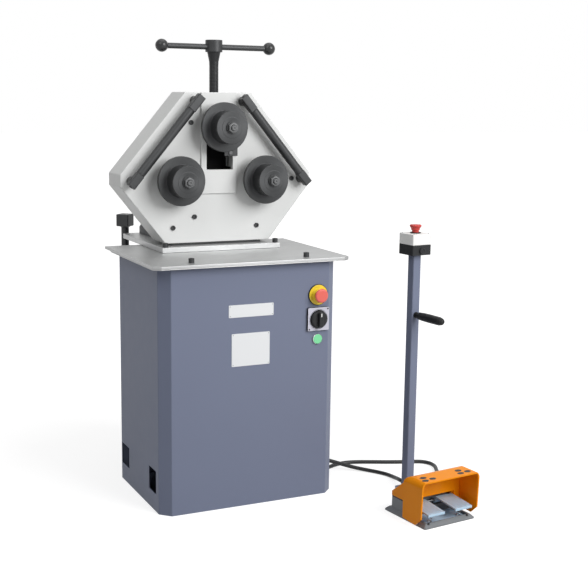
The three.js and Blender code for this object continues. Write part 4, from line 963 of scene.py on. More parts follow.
def blank_plates():
    """Two blank aluminium plates on the cabinet's front, riveted at their corners."""
    front = low("cabinet_body").y
    thickness, corner, margin = 0.0008, 0.002, 0.004
    rivet, rivet_height = 0.0012, 0.0005
    for name, x, z, width, height in (
        ("name_plate", -0.003, 0.560, 0.134, 0.035),
        ("rating_plate", -0.004, 0.451, 0.114, 0.092),
    ):
        place = facing((x, front, z), "front")
        outline = rectangle(-width / 2, width / 2, -height / 2, height / 2)
        blank = plate(outline, 0, thickness, 0.0002, corner)
        piece(name, blank, place, "zinc_plate", "root", look="label_plate")
        for i, (u, v) in enumerate(inset(outline, margin), 1):
            piece(f"{name}_rivet_{i}", rod(rivet, thickness, thickness + rivet_height, 0.0004, 16),
                  facing((x + u, front, z + v), "front"), "bright_steel", "root")


def build_cabinet():
    """The cabinet, its back panel and the blank plates on its front."""
    settings = bpy.context.scene.ring_roller_cabinet
    piece("cabinet", cabinet_shell(settings), Matrix(), "cabinet_paint", "root", ["cabinet_body"])
    back_panel(settings)
    blank_plates()
    paint_node("electrical_panel", "zinc_plate")


def build_gland_plate():
    """The plate low on the cabinet's right side, with the glands that the cables leave from."""
    lo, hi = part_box("cable_glands")
    thickness = 0.003
    outline = rectangle(lo.y, hi.y, lo.z, hi.z)
    shape = plate(outline, lo.x, lo.x + thickness, 0.0006, 0.003)
    piece("gland_plate", moved(shape, facing((0, 0, 0), "right")), Matrix(), "black_plastic", "root",
          ["cable_glands"])
    length = hi.x - lo.x - thickness
    nut_flats, nut_share, cap_share = 0.0195, 0.4, 0.35
    mouth, wide, narrow, nose = 0.0061, 0.0105, 0.0098, 0.0085
    for name, route in (("station_gland", STATION_CABLE), ("foot_gland", FOOT_CABLE)):
        exit_y, exit_z = (MILLIMETRE * value for value in route[0][1:])
        place = facing((lo.x + thickness, exit_y, exit_z), "right")
        piece(f"{name}_body", hex_head(nut_flats, nut_share * length), place, "black_plastic", "root")
        cap = turned([(mouth, cap_share * length), (wide, cap_share * length), (narrow, length - 0.002),
                      (nose, length), (mouth, length)], 0.0008, SMALL_ROUND)
        piece(f"{name}_cap", cap, place, "black_plastic", "root")
    places = [facing((lo.x + thickness, y, z), "right") for y, z in inset(outline, 0.005)]
    screws("gland_plate_screw", "gland", places, "bright_steel", "root")


# Controls


def build_stop(settings, front):
    """The emergency stop: a yellow disc with its collar and a red mushroom head."""
    at = middle("estop_button")
    place = facing((at.x, front, at.z), "front")
    bore, barrel, depth = settings.stem + GAP, settings.barrel, settings.depth
    base = 0.0034
    face = base + 0.0016
    collar = face + 0.0049
    inner = barrel - 0.001
    yellow, collar_foot, collar_top = settings.disc - 0.0016, 0.0165, 0.0150
    base_ring = turned([(inner, GAP), (settings.disc, GAP), (settings.disc, base), (inner, base)], 0.0004)
    piece("stop_base", base_ring, place, "black_plastic", "root")
    disc = turned([(bore, -depth), (barrel, -depth), (barrel, base), (yellow, base), (yellow, face),
                   (collar_foot, face), (collar_top, collar), (bore, collar)], 0.0007)
    piece("stop_disc", disc, place, "yellow_plastic", "root", ["estop_collar"])
    top = front - low("estop_button").y
    start = collar + 0.0053
    wide, neck = settings.mushroom, 0.011
    head = [(0, -depth), (settings.stem, -depth), (settings.stem, start), (neck, start),
            (wide - 0.0025, start + 0.004), (wide, start + 0.0085), (wide, top - 0.0035),
            (wide - 0.0035, top - 0.0006), (0, top)]
    edges = [0, 0.001, 0.0005, 0.001, 0.004, 0.004, 0.0025, 0.004, 0]
    piece("stop_button", lathe(rounded(head, edges, 4, closed=False)), place, "red_plastic", "estop",
          ["estop_button"], "stop_red")


def build_selector(settings, front):
    """The main switch: a square housing with a pale face and a round knob with a grip."""
    at = middle("switch_knob")
    lo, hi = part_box("switch_plate")
    place = facing((at.x, front, at.z), "front")
    half = (hi.x - lo.x) / 2
    knob_lo, knob_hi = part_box("switch_knob")
    radius = (knob_hi.x - knob_lo.x) / 2
    base = 0.0068
    face = base + 0.0012
    floor_top = 0.0033
    cut = 0.05
    bore = settings.stem + GAP
    well = through(circle(radius + 0.0008, ROUND), -cut, cut, Matrix())
    housing = shaped(plate(rectangle(-half, half, -half, half), GAP, base, 0.0008, 0.004), [well])
    barrel = tube(settings.barrel, bore, -settings.depth, floor_top - GAP)
    floor = tube(radius + 0.001, bore, GAP, floor_top, 0.0003, ROUND)
    piece("switch_housing", merged(housing, barrel, floor), place, "black_plastic", "root", ["switch_plate"])
    pale = half - settings.face_border
    hole = through(circle(radius + 0.0015, ROUND), -cut, cut, Matrix())
    cover = shaped(plate(rectangle(-pale, pale, -pale, pale), base, face, 0.0004, 0.003), [hole])
    piece("switch_face", cover, place, "white_plastic", "root", look="selector_face")
    ring = tube(radius + 0.0033, radius + 0.0027, face, face + 0.0003, 0.0001, ROUND)
    piece("switch_ring", ring, place, "black_plastic", "root")
    spot = pale - 0.0045
    screws("switch_screw", "switch", [place @ Matrix.Translation((x, x, face)) for x in (-spot, spot)],
           "black_oxide", "root")
    top = front - knob_lo.y
    step, dial_foot = top - 0.010, 0.0036
    dial = turned([(0, dial_foot), (radius, dial_foot), (radius, step - 0.003), (radius - 0.003, step),
                   (0, step)], 0.0012)
    reach = 0.022
    outline = rectangle(-settings.grip / 2, settings.grip / 2, -reach, reach)
    grip = plate(outline, step - 0.001, top, 0.0016, 0.0055, 6)
    piece("switch_knob_dial", dial, place, "black_plastic", "selector", ["switch_knob"])
    piece("switch_knob_grip", grip, place, "black_plastic", "selector")
    stem = rod(settings.stem, -settings.depth, dial_foot - 0.0002)
    piece("switch_knob_stem", stem, place, "black_plastic", "selector")
    mark_half, mark_start, mark_end = 0.0014, 0.009, 0.019
    mark = plate(rectangle(-mark_half, mark_half, mark_start, mark_end), top, top + 0.0003, 0.0001, 0.001)
    piece("switch_knob_mark", mark, place, "white_plastic", "selector")


def build_start(settings, front):
    """The start button: a green lens in a plated ring, clear of the ring's floor when it is pushed."""
    at = middle("start_button")
    place = facing((at.x, front, at.z), "front")
    lo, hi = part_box("start_bezel")
    radius = (hi.x - lo.x) / 2
    rise = front - lo.y
    stem, barrel, depth = settings.stem, settings.barrel, settings.depth
    bore = stem + GAP
    lens_radius = radius - 0.0014
    well = lens_radius + GAP
    floor = 0.001
    ring = turned([(bore, -depth), (barrel, -depth), (barrel, GAP), (radius, GAP), (radius, rise - 0.001),
                   (radius - 0.001, rise), (well, rise), (well, floor), (bore, floor)], 0.0003)
    piece("start_ring", ring, place, "chrome_ring", "root", ["start_bezel"])
    top = front - low("start_button").y
    back = floor + settings.start_travel + GAP
    lens = [(0, -depth), (stem, -depth), (stem, back), (lens_radius, back), (lens_radius, top - 0.0006),
            (lens_radius - 0.002, top - 0.0002), (0, top)]
    piece("start_lens", lathe(rounded(lens, 0.0003, 3, closed=False)), place, "green_plastic", "start",
          ["start_button"])


def build_controls():
    """The three controls on the cabinet's front and the gland plate on its side."""
    settings = bpy.context.scene.ring_roller_controls
    front = low("cabinet_body").y
    build_stop(settings, front)
    build_selector(settings, front)
    build_start(settings, front)
    build_gland_plate()


# Table and base plate


def build_table():
    """The table, the head's base plate with its land, and their screws."""
    settings = bpy.context.scene.ring_roller_table
    lo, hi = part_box("table_plate")
    outline = cut_front(lo, hi, settings.chamfer_x, settings.chamfer_y)
    corner, past = 0.003, 0.01
    under = lo.z + settings.rim_drop
    slab = plate(outline, under, hi.z, settings.edge, corner)
    piece("table", slab, Matrix(), "table_paint", "root", ["table_plate"])
    rear = rectangle(lo.x - past, hi.x + past, hi.y - settings.rim_gap, hi.y + past)
    cuts = [through(shape, -1, 1, Matrix()) for shape in (inset(outline, settings.rim_width), rear)]
    rim = shaped(plate(outline, lo.z, under, settings.edge, corner), cuts)
    piece("table_rim", rim, Matrix(), "table_paint", "root")
    table_top = hi.z
    lo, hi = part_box("head_base_plate")
    corner = settings.rear_corner
    top = hi.z - settings.land_height
    outline = [
        (lo.x, lo.y), (hi.x, lo.y), (hi.x, hi.y - corner), (hi.x - corner, hi.y),
        (lo.x + corner, hi.y), (lo.x, hi.y - corner),
    ]
    base = plate(outline, lo.z, top, settings.edge, 0.0015)
    piece("base_plate", base, Matrix(), "table_paint", "head", ["head_base_plate"])
    half = settings.land_width / 2
    land = block(-half, half, settings.land_front, settings.land_rear, top, hi.z, 0.0008)
    # The land is blackened as painted shade, so that the gap under the casing reads dark.
    piece("base_land", land, Matrix(), "black_oxide", "head")
    table_screw_y, base_screw_y, socket_depth = -0.168, 0.042, 0.006
    for side, sign in SIDES:
        x = sign * settings.screw_x
        for name, y, z, body in (
            ("table", table_screw_y, table_top, "root"),
            ("base_front", base_screw_y, top, "head"),
        ):
            radius = settings.screw_radius
            head = socket_screw(radius, settings.screw_height, radius, socket_depth)
            piece(f"{name}_screw_{side}", head, facing((x, y, z)), "black_oxide", body)


# Casing


SHAFT_BORE = 0.0153  # radius of every hole that a roller's shaft passes through
PINION_BORE = 0.0123
SCREW_HOLE = 0.0138
CASING_SCREWS = (
    (-0.084, 1.064), (-0.074, 0.795), (-0.1395, 0.765), (0.121, 0.764), (0.234, 0.9006),
)  # x and z


def casing_outline(settings):
    """The casing seen from the front, in x and z."""
    lo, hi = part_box("head_casing")
    foot, top, wide = settings.bottom_width / 2, settings.top_width / 2, hi.x
    low_shoulder, high_shoulder = lo.z + settings.wide_low, lo.z + settings.wide_high
    return [
        (-foot, lo.z), (foot, lo.z), (wide, low_shoulder), (wide, high_shoulder),
        (top, hi.z), (-top, hi.z), (-wide, high_shoulder), (-wide, low_shoulder),
    ]


def window(settings):
    """The slide's window, in x and z."""
    top = high("head_casing").z - settings.window_drop
    return rectangle(settings.window_left, settings.window_right, top - settings.window_height, top)


def casing_shell(settings):
    """A welded box, open at the back, with the shafts' bores, the window and the screw's hole."""
    lo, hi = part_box("head_casing")
    depth = hi.y - lo.y
    edge, corner = settings.edge, 0.006
    outline = casing_outline(settings)
    from_back = facing((0, hi.y, 0), "front")
    profile = [(0, 0)] + [(edge + x, depth - edge + z) for x, z in arc((0, 0), edge, 180, 90, 4)]
    shell = moved(prism(outline, profile, corner, 5), from_back)
    inside = prism(inset(outline, settings.rim), [(0, -0.01), (0, depth - settings.wall)], corner / 2, 3)
    tools = [
        moved(inside, from_back),
        through(window(settings), 0, 2 * depth, from_back, 0.0015),
        through(circle(SCREW_HOLE), -0.02, 0.02, facing((0, pivot("screw_turn").y, hi.z))),
    ]
    for joint in ("left_roll_spin", "right_roll_spin"):
        at = pivot(joint)
        tools.append(through(circle(SHAFT_BORE), 0, 2 * depth, facing((at.x, hi.y, at.z), "front")))
    return shaped(shell, tools)


def slide_ways(inside):
    """The two ribs that the slide runs between, a black strip in each one's groove and a black sheet behind,
    both painted shade.
    """
    top = high("slide_block").z
    inner, outer, bottom, rear = 0.0443, 0.0563, 0.936, 0.119
    groove, groove_front, groove_rear = 0.004, 0.098, 0.109
    for side, sign in SIDES:
        x0, x1 = span(sign, inner, outer)
        rib = block(x0, x1, inside, rear, bottom, top, 0.0008)
        x0, x1 = span(sign, inner - 0.002, inner + groove)
        cut = block(x0, x1, groove_front, groove_rear, bottom - 0.006, top + 0.01, 0)
        piece(f"{side}_slide_rib", shaped(rib, [cut]), Matrix(), "casing_paint", "head")
        # A black strip at the bottom of the groove: painted shade.
        x0, x1 = span(sign, inner + 0.001, inner + groove - GAP)
        strip = block(x0, x1, groove_front + GAP, groove_rear - GAP, bottom + 0.001, top - 0.001, 0.0003)
        piece(f"{side}_slide_shade_strip", strip, Matrix(), "black_oxide", "head", look="slide_black")
    # A black sheet behind the window: painted shade of the casing's inside.
    shade_sheet = block(-outer, outer, rear + 0.0015, rear + 0.0035, bottom - 0.010, top, 0.0005)
    piece("slide_shade_sheet", shade_sheet, Matrix(), "black_oxide", "head", look="slide_black")


def build_casing():
    """The casing with its bearings, the slide's ways, the cover, the back plate and the screws."""
    settings = bpy.context.scene.ring_roller_casing
    front = low("head_casing").y
    piece("casing", casing_shell(settings), Matrix(), "casing_paint", "head", ["head_casing"])
    inside = front + settings.wall
    for name, joint, outer, inner, length in (
        ("left_bearing", "left_roll_spin", 0.035, SHAFT_BORE, 0.020),
        ("right_bearing", "right_roll_spin", 0.035, SHAFT_BORE, 0.020),
        ("pinion_bearing", "pinion_spin", 0.022, PINION_BORE, 0.018),
    ):
        at = pivot(joint)
        boss = tube(outer, inner, 0, length, 0.001, ROUND)
        piece(name, boss, facing((at.x, inside, at.z), "back"), "casing_paint", "head")
    slide_ways(inside)
    lo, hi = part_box("slide_cover")
    thickness = hi.y - lo.y
    cover = plate(rectangle(lo.x, hi.x, lo.z, hi.z), 0, thickness, 0.0012, 0.0015)
    hole = through(window(settings), -thickness, 2 * thickness, Matrix(), 0.0015)
    piece("slide_cover_plate", shaped(cover, [hole]), facing((0, hi.y, 0), "front"), "casing_paint", "head",
          ["slide_cover"])
    radius, height, socket_depth = settings.screw_radius, 0.0045, 0.003
    for i, (x, z) in enumerate(CASING_SCREWS, 1):
        piece(f"casing_screw_{i}", socket_screw(radius, height, radius, socket_depth),
              facing((x, front, z), "front"), "black_oxide", "head")
    build_back_plate(settings)
    paint_node("feed_nut", "bronze")


def build_back_plate(settings):
    """The plate that closes the casing at the back, with the screws round it."""
    lo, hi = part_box("head_back_plate")
    outline = inset(casing_outline(settings), settings.rim + GAP)
    mirrored = [(-x, z) for x, z in outline][::-1]
    panel = moved(plate(mirrored, 0, hi.y - lo.y, 0.0008, 0.003), facing((0, lo.y, 0), "back"))
    tools = []
    for joint, bore in (("left_roll_spin", SHAFT_BORE), ("right_roll_spin", SHAFT_BORE),
                        ("pinion_spin", PINION_BORE)):
        at = pivot(joint)
        tools.append(through(circle(bore), -0.02, 0.02, facing((at.x, lo.y, at.z), "back")))
    piece("back_plate", shaped(panel, tools), Matrix(), "casing_paint", "head", ["head_back_plate"])
    places = [facing((x, hi.y, z), "back") for x, z in inset(outline, 0.010)]
    screws("back_plate_screw", "back", places, "black_oxide", "head")


# Rollers


def roller_shape(name, settings):
    """A turned roller with a wide flange behind, drawn forwards along its axis."""
    lo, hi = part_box(name)
    flange = (hi.x - lo.x) / 2
    drum, bore = 0.046, 0.0153
    front, step, back = -lo.y, -0.0145, -hi.y
    relief = 0.0004
    return turned([
        (bore, back), (flange, back), (flange, step), (drum, step), (drum, front - relief),
        (0.030, front - relief), (0.029, front), (bore, front),
    ], settings.edge, 96)


def shaft_shape(name, settings):
    """A shaft with a collar behind the roller and a threaded end with a centre hole."""
    lo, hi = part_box(name)
    tip, roller_face = -lo.y, 0.0365
    collar_front, collar_back = -0.0268, -0.060
    body, collar, root, hole = 0.015, 0.030, 0.0072, settings.centre_hole
    return turned([
        (0, -hi.y), (body, -hi.y), (body, collar_back), (collar, collar_back), (collar, collar_front),
        (body, collar_front), (body, roller_face), (root, roller_face), (root, tip - 0.002),
        (root - 0.0012, tip), (hole, tip), (hole * 0.6, tip - 0.004), (0, tip - 0.005),
    ], 0.0005)


def build_rollers():
    """The three rollers on their shafts, each with its washer and nut."""
    settings = bpy.context.scene.ring_roller_rollers
    washer, washer_radius, hole = 0.003, 0.018, 0.0083
    thread, thread_depth, end_radius = 0.008, 0.0009, 0.0072
    for side in ("left", "right", "top"):
        at = pivot(f"{side}_roll_spin")
        body = f"{side}_roll"
        place = facing((at.x, 0, at.z), "front")
        roller = roller_shape(f"{side}_roller", settings)
        piece(f"{side}_roll", roller, place, "roll_steel", body, [f"{side}_roller"])
        shaft = shaft_shape(f"{side}_shaft", settings)
        piece(f"{side}_axle", shaft, place, "black_oxide", body, [f"{side}_shaft"])
        tip = -low(f"{side}_shaft").y
        face = -high(f"{side}_nut").y
        nut_top = face + washer + settings.nut_height
        stud = threaded(thread, settings.thread_pitch, thread_depth, nut_top - 0.001, tip - 0.002)
        piece(f"{side}_stud", stud, place, "roll_steel", body, look="stud_steel")
        stud_end = turned([
            (0, tip - 0.003), (end_radius, tip - 0.003), (end_radius, tip - 0.0008),
            (end_radius - 0.0012, tip + 0.0002), (settings.centre_hole, tip + 0.0002),
            (settings.centre_hole - 0.0013, tip - 0.0025), (0, tip - 0.0026),
        ], 0.0003, SMALL_ROUND)
        piece(f"{side}_stud_end", stud_end, place, "roll_steel", body, look="stud_steel")
        disc = tube(washer_radius, hole, face, face + washer, 0.0005)
        piece(f"{side}_washer", disc, place, "black_oxide", body, [f"{side}_nut"])
        nut = hex_nut(settings.nut_flats, settings.nut_height, hole + 0.0001)
        piece(f"{side}_lock_nut", nut, place @ Matrix.Translation((0, 0, face + washer)), "roll_steel", body,
              look="stud_steel")
    for node in ("left_gear", "right_gear", "drive_pinion"):
        paint_node(node, "bright_steel")


# Slide, feed screw and handle


def build_slide():
    """The slide with its pointer."""
    lo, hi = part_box("slide_block")
    half, front, bottom = 0.044, 0.078, 1.010
    arm_left, arm_right, arm_half = 0.015, 0.035, 0.010
    blade, blade_height = 0.004, 0.047
    body = block(-half, half, front, hi.y, bottom, hi.z, 0.0012)
    at = pivot("top_roll_spin")
    bore = through(circle(SHAFT_BORE), 0, 0.2, facing((at.x, 0, at.z), "back"))
    # The slide and its arm take the near-black inside finish: the slide's own blackened steel, darkened as
    # painted shade inside the window.
    piece("slide", shaped(body, [bore]), Matrix(), "black_oxide", "slide", ["slide_block"], "slide_black")
    arm = block(arm_left, arm_right, lo.y + blade - 0.001, front + 0.001,
                bottom - arm_half, bottom + arm_half)
    piece("pointer_arm", arm, Matrix(), "black_oxide", "slide", look="slide_black")
    pointer = block(arm_left, hi.x, lo.y, lo.y + blade, lo.z, lo.z + blade_height, 0.0008)
    piece("pointer", pointer, Matrix(), "black_oxide", "slide")
    piece("pointer_bolt", hex_head(0.0105, 0.0036), facing((0.0335, lo.y, 0.978), "front"), "bright_steel",
          "slide", look="stud_steel")


def ball_profile(radius, bore):
    """The section of a ball with a blind bore, seen along its axis."""
    mouth, steps = math.radians(26), 20
    angles = [mouth + (math.pi - mouth) * i / steps for i in range(steps)]
    curve = [(radius * math.sin(a), radius * math.cos(a)) for a in angles] + [(0, -radius)]
    floor = radius - 0.012
    return [(0, floor), (bore, floor), (bore, curve[0][1])] + curve


def build_feed():
    """The slide, the feed screw with its hub and the T-handle with its two balls."""
    settings = bpy.context.scene.ring_roller_feed
    build_slide()
    at = pivot("screw_turn")
    place = facing((at.x, at.y, 0))
    lo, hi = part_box("feed_screw")
    shoulder = high("slide_block").z + GAP
    screw, spigot, cone, cap = 0.0135, 0.008, 0.0192, 0.010
    neck = high("head_casing").z + 0.087
    cone_top = hi.z - 0.034
    thread_end = neck - 0.006
    core = screw - settings.thread_depth
    spindle_radius = 0.9 * core
    thread = threaded(screw, settings.pitch, settings.thread_depth, shoulder, thread_end)
    piece("screw_thread", thread, place, "black_oxide", "screw", ["feed_screw"], "screw_steel")
    spindle = turned([
        (0, lo.z), (spigot, lo.z), (spigot, shoulder + 0.001), (spindle_radius, shoulder + 0.001),
        (spindle_radius, thread_end - 0.002), (screw, thread_end), (screw, neck), (cone, cone_top),
        (cap, cone_top + 0.002), (0, cone_top + 0.002),
    ], 0.0006)
    piece("screw_spindle", spindle, place, "black_oxide", "screw", look="screw_steel")
    radius = settings.hub_radius
    hub = turned([(0, cone_top), (radius, cone_top), (radius, hi.z), (0, hi.z)], 0.0014)
    bar_height = middle("handle_bar").z
    bar_hole = settings.handle_radius + GAP
    cut = through(circle(bar_hole), -0.05, 0.05, facing((0, 0, bar_height), "right"))
    piece("handle_hub", shaped(hub, [cut]), place, "black_oxide", "screw")
    lo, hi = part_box("handle_bar")
    along = facing((0, at.y, bar_height), "right")
    bar = rod(settings.handle_radius, lo.x, hi.x)
    piece("handle_rod", bar, along, "black_oxide", "screw", ["handle_bar"])
    for side, sign in SIDES:
        centre = middle(f"handle_ball_{side}").x
        ball_place = aimed((centre, at.y, bar_height), (-sign, 0, 0), (0, 1, 0))
        ball = lathe(ball_profile(settings.ball_radius, bar_hole), 48)
        piece(f"ball_{side}", ball, ball_place, "ball_plastic", "screw", [f"handle_ball_{side}"])


# Side guides


def build_guides():
    """The two guide bars: a core with a block at each end, and a sleeve that turns on it."""
    settings = bpy.context.scene.ring_roller_guides
    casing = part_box("head_casing")
    forward = pivot("left_sleeve_spin").y
    upper = Vector((settings.upper_x, forward, casing[1].z - settings.upper_drop))
    lower = Vector((settings.lower_x, forward, casing[0].z + settings.lower_rise))
    stud_back = casing[0].y - GAP
    tip, core = 0.004, 0.007
    for side, sign in SIDES:
        top = Vector((sign * upper.x, upper.y, upper.z))
        along = Vector((sign * lower.x, lower.y, lower.z)) - top
        length = along.length
        place = aimed(top, along, (0, -1, 0))
        half = settings.block_side / 2
        parts = [
            block(-half, half, -half, half, 0, settings.upper_block, 0.0012, 0.004),
            block(-half, half, -half, half, length - settings.lower_block, length, 0.0012, 0.004),
            rod(core, 0.001, length - 0.001),
            rod(tip, -0.002, length + 0.002, 0.0005),
        ]
        piece(f"{side}_guide_core", merged(*parts), place, "black_oxide", "head", [f"{side}_guide_frame"])
        sleeve = tube(settings.sleeve_radius, core + GAP, settings.upper_block + GAP,
                      length - settings.lower_block - GAP, 0.001)
        piece(f"{side}_guide_tube", sleeve, place, "black_oxide", f"{side}_sleeve", [f"{side}_guide_sleeve"])
        for end, rise in (("upper", settings.upper_stud), ("lower", length - settings.lower_stud)):
            at = top + along.normalized() * rise
            stud = rod(settings.stud_radius, 0, stud_back - at.y, 0.001)
            piece(f"{side}_{end}_stud", stud, facing(at, "back"), "black_oxide", "head")


# Drive behind the head


def build_bracket(settings):
    """Two gusset plates with a shelf between them, bolted to the base plate."""
    lo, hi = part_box("rear_bracket")
    thickness = settings.plate
    shelf_top = low("gearbox").z - GAP
    shelf_rear = lo.y + 0.098
    rear_height, nose = 0.021, 0.040
    gusset = [
        (lo.y, lo.z), (hi.y, lo.z), (hi.y, lo.z + rear_height), (shelf_rear, shelf_top),
        (shelf_rear, shelf_top + thickness), (lo.y, shelf_top + nose),
    ]
    for side, x, replaced in (("left", lo.x, ["rear_bracket"]), ("right", hi.x - thickness, [])):
        shape = plate(gusset, 0, thickness, 0.001, 0.002)
        piece(f"{side}_gusset", shape, facing((x, 0, 0), "right"), "drive_paint", "head", replaced)
    inner = hi.x - thickness
    shelf = block(-inner, inner, lo.y, shelf_rear, shelf_top - thickness, shelf_top)
    piece("bracket_shelf", shelf, Matrix(), "drive_paint", "head")
    foot_width, foot_front, foot_top = 0.022, 0.270, lo.z + 0.008
    for side, sign in SIDES:
        x0, x1 = span(sign, inner - foot_width, inner)
        foot = block(x0, x1, foot_front, hi.y, lo.z, foot_top)
        piece(f"{side}_bracket_foot", foot, Matrix(), "drive_paint", "head")
        for i, y in enumerate((0.290, 0.335, 0.380), 1):
            piece(f"{side}_bracket_bolt_{i}", hex_head(settings.bolt_flats, 0.0053),
                  facing(((x0 + x1) / 2, y, foot_top)), "black_oxide", "head")


WORM_X, WORM_BEHIND = 0.063, 0.066  # the worm's axis: its x, and its distance behind the gearbox's front


def build_gearbox():
    """The worm gearbox: a body with a round flange in front, a cover behind and the worm's housing."""
    lo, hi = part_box("gearbox")
    at = pivot("pinion_spin")
    flange_back = lo.y + 0.0074
    half, flange, worm = 0.065, 0.055, 0.036
    cover, cover_height, bolt_circle, bolts = 0.048, 0.004, 0.041, 6
    front, rear = (facing((at.x, y, at.z), "back") for y in (0, hi.y))
    body = block(-half, half, flange_back, hi.y, lo.z, hi.z, 0.002, 0.010)
    bore = through(circle(PINION_BORE), -0.2, 0.4, front)
    piece("gearbox_body", shaped(body, [bore]), Matrix(), "drive_paint", "head", ["gearbox"])
    piece("gearbox_flange", tube(flange, PINION_BORE, lo.y, flange_back, 0.001, ROUND), front,
          "drive_paint", "head")
    piece("worm_housing", rod(worm, lo.z, hi.z, 0.002, ROUND), facing((WORM_X, lo.y + WORM_BEHIND, 0)),
          "drive_paint", "head")
    piece("gearbox_cover", tube(cover, PINION_BORE + 0.0002, 0, cover_height, 0.001, ROUND), rear,
          "drive_paint", "head")
    for i in range(bolts):
        turn = Matrix.Rotation(math.pi * (2 * i + 1) / bolts, 4, "Z")
        place = rear @ turn @ Matrix.Translation((bolt_circle, 0, cover_height))
        piece(f"gearbox_cover_bolt_{i + 1}", hex_head(0.008, 0.0035), place, "black_oxide", "head")


def motor_outline(outer, fin, fins):
    """The finned shell of the motor in plan."""
    points = []
    for i in range(4 * fins):
        reach = outer if i % 4 in (1, 2) else outer - fin
        angle = 2 * math.pi * i / (4 * fins)
        points.append((reach * math.cos(angle), reach * math.sin(angle)))
    return points


def build_motor(settings):
    """The motor that stands on the worm's housing: flange, finned shell, fan cowl and terminal box."""
    lo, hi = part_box("motor")
    centre = Vector((WORM_X, low("gearbox").y + WORM_BEHIND, 0))
    place = facing(centre)
    radius, shell_radius, flange, cowl_length = 0.062, 0.060, 0.008, 0.034
    shell_low, shell_high = lo.z + flange, hi.z - cowl_length
    outline = motor_outline(shell_radius, settings.fin, settings.fins)
    shell = loft([[(x, y, z) for x, y in outline] for z in (shell_low, shell_high)])
    piece("motor_shell", shell, place, "drive_paint", "head", ["motor"])
    piece("motor_flange", rod(radius, lo.z, shell_low + 0.001, 0.0015, ROUND), place, "drive_paint", "head")
    cowl_foot, rim_drop, rim_inset = shell_high - 0.001, 0.006, 0.005
    cowl = turned([(0, cowl_foot), (radius, cowl_foot), (radius, hi.z - rim_drop), (radius - rim_inset, hi.z),
                   (0, hi.z)], 0.002)
    slot = rectangle(0.018, 0.046, -0.003, 0.003)
    slots = []
    for i in range(settings.cowl_slots):
        turn = Matrix.Rotation(2 * math.pi * i / settings.cowl_slots, 4, "Z")
        slots.append(through(slot, hi.z - 0.008, hi.z + 0.01, turn, 0.0028))
    piece("fan_cowl", shaped(cowl, slots), place, "drive_paint", "head")
    half_width, depth, half_height, lid_height, margin = 0.030, 0.026, 0.032, 0.004, 0.006
    front = centre.y + shell_radius - 0.006
    rear = front + depth
    middle_z = (lo.z + hi.z) / 2
    x0, x1 = centre.x - half_width, centre.x + half_width
    z0, z1 = middle_z - half_height, middle_z + half_height
    piece("terminal_box", block(x0, x1, front, rear - lid_height, z0, z1, 0.002, 0.002), Matrix(),
          "drive_paint", "head")
    piece("terminal_lid", block(x0, x1, rear - lid_height + GAP, rear, z0, z1, 0.0008, 0.002), Matrix(),
          "drive_paint", "head")
    places = [facing((x, rear, z), "back") for x, z in inset(rectangle(x0, x1, z0, z1), margin)]
    screws("terminal_screw", "terminal", places, "bright_steel", "head")


def build_rests():
    """The two posts behind the table that the head lies on when it is tilted back."""
    half_diagonal = 0.042 / math.sqrt(2)
    head, stem, neck = 0.038, 0.012, 0.0185
    arm_half, arm_low, arm_high = 0.015, 0.480, 0.500
    foot_half, foot_low, foot_high, foot = 0.022, 0.440, 0.520, 0.006
    diamond = [(0, -half_diagonal), (half_diagonal, 0), (0, half_diagonal), (-half_diagonal, 0)]
    for side in ("left", "right"):
        node = f"rest_post_{side}"
        lo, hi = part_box(node)
        x = (lo.x + hi.x) / 2
        y = hi.y - half_diagonal
        face = lo.y
        place = facing((x, y, 0))
        shoulder = hi.z - head
        top = plate(diamond, shoulder, hi.z, 0.003, 0.004)
        piece(f"{side}_rest_head", top, place, "black_oxide", "root", [node])
        post = turned([(0, arm_low), (stem, arm_low), (stem, shoulder - 0.004), (neck, shoulder + 0.001),
                       (0, shoulder + 0.001)], 0.0008)
        piece(f"{side}_rest_stem", post, place, "black_oxide", "root")
        arm = block(x - arm_half, x + arm_half, face + 0.002, y + stem, arm_low, arm_high, 0.0015, 0.002)
        piece(f"{side}_rest_arm", arm, Matrix(), "black_oxide", "root")
        flange = block(x - foot_half, x + foot_half, face, face + foot, foot_low, foot_high, 0.001)
        piece(f"{side}_rest_foot", flange, Matrix(), "black_oxide", "root")
        for end, z in (("lower", 0.455), ("upper", 0.511)):
            piece(f"{side}_rest_{end}_bolt", hex_head(0.0100, 0.004), facing((x, face + foot, z), "back"),
                  "bright_steel", "root")


def build_drive():
    """Everything behind the head: bracket, gearbox, motor, rests and hinge."""
    settings = bpy.context.scene.ring_roller_drive
    build_bracket(settings)
    build_gearbox()
    build_motor(settings)
    build_rests()
    paint_node("hinge_fixed_leaf", "black_oxide")
    paint_node("hinge_moving_leaf", "black_oxide")
    paint_node("hinge_pin", "bright_steel")


# Foot switch, in its own frame: x along its front edge, y towards its back


def foot_frame():
    """Where the foot switch stands and how it is turned."""
    settings = bpy.context.scene.ring_roller_foot
    return Matrix.Translation(FOOT_PLACE) @ Matrix.Rotation(settings.turn, 4, "Z")


def across(x=0.0):
    """A place in the foot switch's frame that draws y and z and grows along x."""
    return facing((x, 0, 0), "right")


HOUSING = {"left": 0.010, "right": 0.165, "front": 0.086, "rear": 0.162, "top": 0.044}
GASKET = 0.0032  # between the housing and its lid
GUARD = {"left": -0.0125, "right": 0.1875, "back": 0.083, "top": 0.135, "front": 0.132}
STAND = {"left": 0.062, "right": 0.163, "front": 0.102}
PEDAL_PIN = {"y": 0.095, "z": 0.036, "radius": 0.004}
PEDALS = (("left", 0.011, 0.068), ("right", 0.106, 0.164))
SPRINGS = (("left", 0.038), ("right", 0.139))
SPRING_Y = 0.028
POST_PLACE = (0.164, 0.287, 0)
FOOT_PLACE = (0.3483, -0.5514, 0)


def pin_hole():
    """The tool that drills the hole of the pedals' pin."""
    hole = [(x + PEDAL_PIN["y"], y + PEDAL_PIN["z"]) for x, y in circle(PEDAL_PIN["radius"] + GAP)]
    return through(hole, -0.1, 0.3, across())


